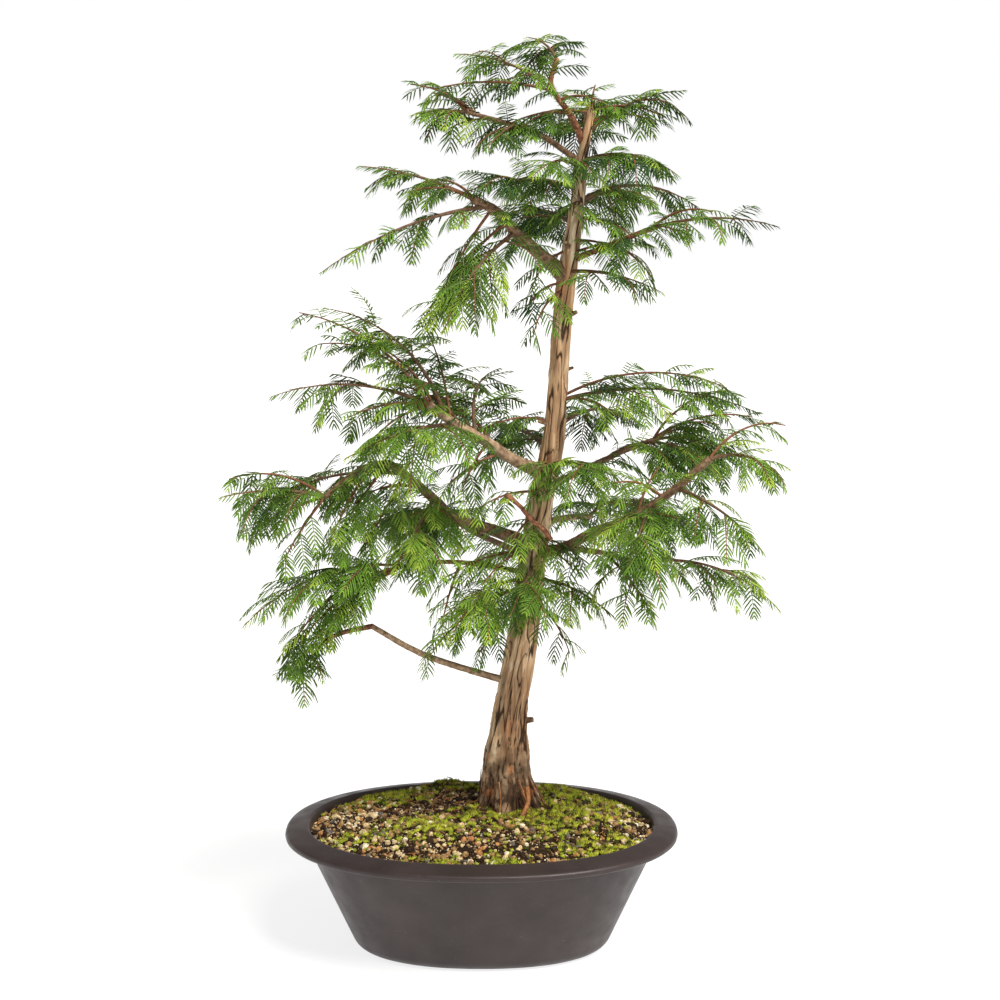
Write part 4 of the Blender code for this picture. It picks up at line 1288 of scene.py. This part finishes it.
# Thin twigs that fill the crown between the masses, by region and parent: where each leaves it, its
# heading, turn, rise, droop and reach, and the length of its feathers.
THIN_TWIGS = {
    "low_left": (
        ("mid_left", (
            (0.8, 240, -10, -34, 24, 84, 46), (0.72, 214, 0, -45, 10, 84, 44),
            (0.62, 228, 0, -50, 0, 78, 44), (1, 225, -10, -40, 20, 70, 38), (1, 176, 0, 40, 60, 110, 34),
            (1, 186, 0, -14, 20, 68, 40))),
        ("left_twig", (
            (1, 200, -8, -14, 40, 116, 46), (1, 196, 0, -6, 60, 138, 40), (1, 190, 0, -22, 40, 128, 42))),
        ("low_left_tip", ((0.8, 214, -20, -12, 40, 36, 30),)),
        ("mid_left", ((0.5, 215, 10, 20, 50, 76, 40),)),
    ),
    "low_middle": (
        ("trunk", (
            (318, 258, 0, 14, 50, 50, 40), (300, 292, 0, 8, 46, 52, 40), (290, 215, 0, 14, 46, 78, 40),
            (268, 246, 0, 8, 40, 60, 42), (252, 284, 0, 12, 50, 50, 42), (240, 232, 0, 4, 40, 76, 42),
            (236, 200, 0, 8, 40, 84, 42), (250, 330, 0, 0, 30, 48, 32), (206, 212, -10, -4, 50, 118, 38),
            (196, 218, 0, -24, 30, 72, 36))),
        ("left_twig", ((0.4, 238, 0, -50, 20, 62, 36),)),
        ("trunk", ((196, 312, 0, -14, 50, 72, 36), (246, 318, 0, -8, 30, 48, 34))),
        ("up_left", ((0.35, 215, 0, -8, 30, 64, 42), (0.5, 235, 0, -30, 30, 56, 42))),
    ),
    "low_right": (
        ("right_low", (
            (0.5, 300, 40, 40, 70, 64, 38), (0.62, 60, 0, 60, 40, 58, 38), (0.75, 205, 0, 46, 60, 56, 36),
            (1, 24, 0, 54, 70, 84, 36))),
    ),
    "back": (
        ("right_mid", (
            (1, 20, 10, 30, 50, 64, 36), (1, 350, 0, 44, 60, 66, 38), (1, 10, 0, 62, 60, 88, 34),
            (1, 0, 0, 38, 50, 98, 34))),
        ("trunk", ((374, 8, 0, 30, 54, 160, 34),)),
    ),
    "middle": (
        ("up_left", (
            (0.95, 150, 30, 66, 50, 92, 38), (0.8, 110, 0, 70, 40, 92, 40), (1, 165, 0, 62, 70, 118, 36),
            (1, 174, 0, 60, 50, 140, 30), (1, 200, 0, -10, 40, 62, 38), (1, 190, 0, 12, 40, 72, 40),
            (0.6, 150, 0, 56, 50, 92, 42), (0.45, 160, 0, 60, 60, 92, 42), (0.7, 190, 0, 60, 60, 80, 38))),
        ("trunk", ((372, 330, 0, 20, 60, 62, 34), (352, 200, 0, 24, 50, 66, 34))),
    ),
    "high": (
        ("high_left", (
            (0.62, 197, 0, -36, 24, 112, 40), (0.8, 200, 0, -50, 20, 108, 42), (1, 205, 0, 30, 50, 62, 32),
            (1, 150, 0, 50, 60, 50, 36))),
        ("high_right", ((1, 330, 0, 44, 60, 60, 30),)),
        ("trunk", ((505, 208, 0, -10, 60, 52, 34),)),
        ("high_right", ((0.7, 300, 0, 20, 40, 42, 30),)),
        ("trunk", (
            (475, 212, 0, 10, 70, 44, 34), (512, 338, 0, 10, 40, 42, 32), (470, 235, 0, -6, 60, 64, 34),
            (530, 325, 0, 12, 50, 60, 34), (500, 322, 0, 24, 30, 58, 34))),
        ("high_right", ((0.4, 320, 0, -20, 30, 50, 32),)),
        ("trunk", ((545, 262, 0, 10, 50, 44, 34),)),
    ),
    "crown": (
        ("top_left", ((0.3, 215, 10, 30, 60, 50, 30), (0.6, 170, 0, 20, 50, 52, 34))),
        ("leader", ((0.35, 215, 0, 10, 50, 52, 30),)),
        ("top_left", ((0.9, 185, 0, 44, 40, 62, 34), (1, 150, 0, 46, 40, 40, 32))),
        ("trunk", ((622, 196, 0, 8, 36, 82, 34),)),
        ("leader", ((0.6, 186, 0, 16, 30, 102, 34),)),
        ("trunk", ((622, 350, 0, 22, 50, 62, 30),)),
        ("leader", ((0.5, 330, 0, 20, 50, 44, 28),)),
        ("trunk", ((612, 340, 0, 30, 60, 62, 30), (622, 80, 0, 60, 40, 40, 26))),
    ),
}
SPRAY_LIFT = 0.2
SHOOT_SLANT = 44
SHOOT_SAG = (18, 42)
RIB_RADII = (0.85, 0.3)
SHOOT_RADII = (0.5, 0.2)
TWIG_RADII = (1.5, 0.5)
TWIG_SHORTER = (1, 0.8, 0.6)
FEATHER_SHORTER = (1, 0.75, 0.5)
ALL_SPRAYS_FROM = 0.5  # Masses less lush than this carry every other spray.
NEEDLE_SKIN = np.array([
    (0, 1, 2), (0, 2, 3), (0, 3, 1), (1, 4, 5), (1, 5, 2), (2, 5, 6), (2, 6, 3), (3, 6, 4), (3, 4, 1),
    (4, 7, 5), (5, 7, 6), (6, 7, 4),
])


def unit(rows):
    return rows / np.maximum(np.linalg.norm(rows, axis=-1, keepdims=True), 1e-9)


def needles_along(line, roll, longest, first, shade, draw):
    """Needles in two ranks along a shoot: their points, and the green of each."""
    points = np.array([p[:] for p in line])
    run = np.concatenate([[0], np.cumsum(np.linalg.norm(np.diff(points, axis=0), axis=1))])
    count = max(int((1 - first) * run[-1] / NEEDLE_SPACING), 5)
    share = np.linspace(0, 1, count)
    at = (first + (1 - first) * share) * run[-1]
    centre = np.stack([np.interp(at, run, points[:, k]) for k in range(3)], axis=1)
    ahead = unit(np.gradient(centre, axis=0))
    flat = line[-1] - line[0]
    level = np.array(Vector((flat.y, -flat.x, 0.001)).normalized())
    side = unit(level * cos(roll) + np.cross(level, ahead) * sin(roll))
    side = unit(side - ahead * np.sum(side * ahead, axis=1, keepdims=True))
    over = np.cross(side, ahead)
    profile = 0.62 + 0.38 * np.minimum(1, share / 0.25)
    profile = profile * (1 - 0.6 * np.clip((share - 0.45) / 0.55, 0, 1) ** 1.7)
    made, greens = [], []
    for sign in (-1, 1):
        slant = np.radians(30 + 26 * share ** 1.5 + draw.normal(0, 4, count))[:, None]
        out = side * sign * np.cos(slant) + ahead * np.sin(slant)
        out = unit(out - over * (0.10 + draw.normal(0, 0.07, count))[:, None])
        wide = unit(np.cross(over, out))
        twist = draw.normal(0, 0.32, count)[:, None]
        wide = wide * np.cos(twist) + np.cross(out, wide) * np.sin(twist)
        thick = np.cross(out, wide)
        length = (longest * profile * draw.uniform(0.86, 1.08, count))[:, None]
        bend = ahead * 0.12 - np.array((0, 0, 1)) * (NEEDLE_SAG + draw.normal(0, 0.04, count))[:, None]
        rows = [centre]
        for t, half in ((0.16, 0.5), (0.66, 0.46)):
            middle = centre + out * length * t + bend * length * t * t
            rows += [middle + wide * NEEDLE_WIDTH * half, middle + thick * NEEDLE_THICKNESS,
                     middle - wide * NEEDLE_WIDTH * half]
        rows.append(centre + out * length + bend * length)
        made.append(np.stack(rows, axis=1))
        greens.append(np.where(share > 0.8, max(shade - 1, 0), shade))
    return np.concatenate(made), np.concatenate(greens)


box_low, box_high = (np.array(corner[:]) / MM for corner in cad_box)


def fits(points):
    """True if needles stay inside the part's own reach."""
    flat = points.reshape(-1, 3)
    return (flat.min(0) > box_low + EDGE_MARGIN).all() and (flat.max(0) < box_high - EDGE_MARGIN).all()


def dress(rib, width, roll, at_end, lush, shades, draw):
    """A spray's twig and shoots, each as its line, radii, finish, needles and their greens."""
    line = smooth(rib, 4)
    if not at_end:
        lift, steps = (line[-1] - line[0]).length, len(line) - 1
        line = [q + UP * SPRAY_LIFT * (i / steps) ** 2 * lift for i, q in enumerate(line)]
    shade = draw.choice(len(GREENS), p=shades)
    main = min(MAIN_NEEDLE, 0.72 * width) * (0.75 if at_end or lush < 0.6 else 1)
    side_count = max(round(lush * (3 if at_end or width < 18 else 6)), 1)
    roll *= 0.6
    grown = [(line, tapering(*RIB_RADII, len(line)), 1, *needles_along(line, roll, main, 0.25, shade, draw))]
    flat = rib[-1] - rib[0]
    level = Vector((flat.y, -flat.x, 0)).normalized()
    for k in range(side_count):
        share = 0.04 + (0.34 if at_end else 0.54) * (k + 0.5) / side_count
        along = tangent_at(line, int(share * (len(line) - 1)))
        side = level * cos(roll) + level.cross(along) * sin(roll)
        over = side.cross(along)
        reach = width * (0.72 + share - 1.15 * share * share)
        slant = radians(SHOOT_SLANT + draw.uniform(-7, 7))
        hand = 1 if k % 2 else -1
        out = side * hand * cos(slant) + along * sin(slant)
        out = out - over * draw.uniform(0.0, 0.25)
        size = reach * draw.uniform(1.1, 1.5)
        heading, rise = aim(out, out.normalized().z)
        shoot = bent(point_at(line, share), heading, draw.uniform(-8, 14) * -hand, rise + 6,
                     min(draw.uniform(*SHOOT_SAG), rise + 84), size, 7)
        tilt = roll * 0.5 + draw.uniform(-0.3, 0.3)
        fresher = int(np.clip(shade + draw.integers(-1, 2), 0, len(GREENS) - 1))
        points, greens = needles_along(shoot, tilt, min(SIDE_NEEDLE, 0.62 * width), 0.08, fresher, draw)
        if fits(points):
            grown.append((shoot, tapering(*SHOOT_RADII, len(shoot)), 0, points, greens))
    return grown


def feather(spot, out, size, sag, longest, roll, shade, draw):
    """One drooping shoot with its needles, shortened until it keeps inside the part's reach."""
    out = out.normalized()
    heading, rise = aim(out, out.z)
    turn = draw.uniform(-16, 16)
    for share in FEATHER_SHORTER:
        line = bent(spot, heading, turn, rise, min(sag, rise + 82), size * share, 8)
        points, greens = needles_along(line, roll, longest * (0.6 + 0.4 * share), 0.07, shade, draw)
        if fits(points):
            return line, tapering(*SHOOT_RADII, len(line)), 0, points, greens
    return None


def along_wood(line, first, last, spacing, spread, name, shades, draw):
    """Feathers that stand left, right and over a stem or a bough, in turn, within a mass's own space."""
    length = sum((b - a).length for a, b in zip(line, line[1:])) * (last - first)
    count = max(int(length / spacing), 1)
    grown = []
    for k in range(count):
        share = first + (last - first) * (k + draw.uniform(0.2, 0.8)) / count
        spot, along = point_at(line, share), tangent_at(line, int(share * (len(line) - 1)))
        side = along.cross(UP).normalized()
        over = side.cross(along)
        turn = radians(FEATHER_TURNS[k % len(FEATHER_TURNS)] + draw.uniform(-16, 16))
        lean = radians(draw.uniform(*FEATHER_LEAN))
        out = along * cos(lean) + (side * sin(turn) + over * cos(turn)) * sin(lean)
        size = min(spread * draw.uniform(0.75, 1.15), FEATHER_LONGEST) * (1.0 - 0.5 * share * share)
        made = feather(spot, out, size, draw.uniform(*FEATHER_SAG), draw.uniform(*FEATHER_NEEDLE),
                       draw.normal(0, 0.3), draw.choice(len(GREENS), p=shades), draw)
        if made and (name is None or keeps_to_space(name, [made[0][-1]], samples)):
            grown.append(made)
    return grown


green_finishes = [new_finish(name, colour, 0.55)[0] for name, colour in GREENS]
TWIG_COLOURS = (("green_shoots", (0.20, 0.27, 0.06)), ("red_twigs", (0.26, 0.11, 0.055)),
                ("brown_stems", (0.20, 0.115, 0.065)))
twig_finishes = [mottled(name, colour, 0.6, 300, 3, 0.55, 0.35, 0.62)[0] for name, colour in TWIG_COLOURS]

for seed, (region, (shares, masses, boughs)) in enumerate(REGIONS.items()):
    draw = np.random.default_rng(100 + seed)
    shades = np.array(shares) / np.sum(shares)
    grown = []
    for member, lush in masses.items():
        stem = stems[member]
        fine = smooth(stem["axis"][:9], 3)
        grown.append((fine, tapering(stem["root"] * 0.9, 0.8, len(fine)), 2, None, None))
        for k, (rib, width, roll) in enumerate(stem["sprays"]):
            if lush >= ALL_SPRAYS_FROM or k % 2 == 0:
                grown += dress(rib, width, roll, k == 0, lush, shades, draw)
        spacing = STEM_FEATHER_SPACING / lush
        grown += along_wood(stem["axis"], *STEM_FEATHERS, spacing, stem["spread"], member, shades, draw)
    dressed = [(limbs[name]["line"], first, BOUGH_FEATHER) for name, first in boughs.items()]
    for parent, rows in THIN_TWIGS[region]:
        for at, heading, turn, rise, droop, reach, longest in rows:
            for share in TWIG_SHORTER:
                line = bent(leave(limbs, parent, at), heading, turn, rise, droop, reach * share, STEM_STEPS)
                if fits(np.array([p[:] for p in line])):
                    break
            grown.append((smooth(line, 2), tapering(*TWIG_RADII, 2 * STEM_STEPS + 1), 1, None, None))
            dressed.append((line, TWIG_FEATHERS_FROM, longest))
    for line, first, longest in dressed:
        grown += along_wood(line, first, 1.0, BOUGH_FEATHER_SPACING, longest, None, shades, draw)
    needled = [row for row in grown if row[3] is not None]
    blades, greens = (np.concatenate([row[column] for row in needled]) for column in (3, 4))
    kept = np.array([fits(blade) for blade in blades])
    blades, greens = blades[kept], greens[kept]
    faces = NEEDLE_SKIN[None] + 8 * np.arange(len(blades))[:, None, None]
    needles = joined("needles_" + region, blades.reshape(-1, 3), faces, np.repeat(greens, len(NEEDLE_SKIN)),
                     green_finishes)
    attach(needles, "root")
    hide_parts(*["foliage_" + member for member in masses])
    points, faces, slots = tubes([row[:3] for row in grown], 5)
    points = np.clip([p[:] for p in points], box_low + EDGE_MARGIN, box_high - EDGE_MARGIN)
    twigs = joined("twigs_" + region, points, faces, slots, twig_finishes)
    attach(twigs, "root")


# The floor, the light and the camera
# A plain white floor under a studio sky that is white near the horizon and dimmer above, with one broad
# soft lamp from the upper right. The camera stands where the photograph was taken from.

FLOOR_METRES = 60
SUN_STRENGTH = 4.2
SUN_SPREAD = 28
SUN_FROM = (0.72, -0.80, 1.45)
CAMERA_PLACE = (16.6, -1620, 643)
CAMERA_TILT = 8.24
LENS = 66.5

floor = fresh(bpy.ops.mesh.primitive_plane_add, size=FLOOR_METRES)
floor.name = "floor"
pale, tree, shader = new_finish("pale_floor", (0.36, 0.36, 0.36), 1.0)
put(shader, Specular_IOR_Level=0.0, Emission_Color=(1, 1, 1, 1), Emission_Strength=0.8)
floor.data.materials.append(pale)

sky = bpy.data.worlds.new("studio")
sky.use_nodes = True
tree = sky.node_tree
place = tree.nodes.new("ShaderNodeTexCoord")
part = tree.nodes.new("ShaderNodeSeparateXYZ")
tree.links.new(place.outputs["Generated"], part.inputs["Vector"])
shades = ramp(tree, part.outputs["Z"], (0.14, 1.0), (0.32, 0.28))
tree.links.new(shades, tree.nodes["Background"].inputs["Color"])
put(tree.nodes["Background"], Strength=1.0)
bpy.context.scene.world = sky

sun = bpy.data.lights.new("key", "SUN")
sun.energy = SUN_STRENGTH
sun.angle = radians(SUN_SPREAD)
sun.color = (1.0, 0.97, 0.92)
key = in_scene("key", sun)
key.location = (1, -1, 2)
key.rotation_euler = (-Vector(SUN_FROM)).to_track_quat("-Z", "Y").to_euler()

view = bpy.data.cameras.new("camera")
view.lens = LENS
view.sensor_width = 36
camera = in_scene("camera", view)
camera.location = Vector(CAMERA_PLACE) * MM
camera.rotation_euler = (radians(90 - CAMERA_TILT), 0, 0)
bpy.context.scene.camera = camera
bpy.context.scene.view_settings.view_transform = "Standard"
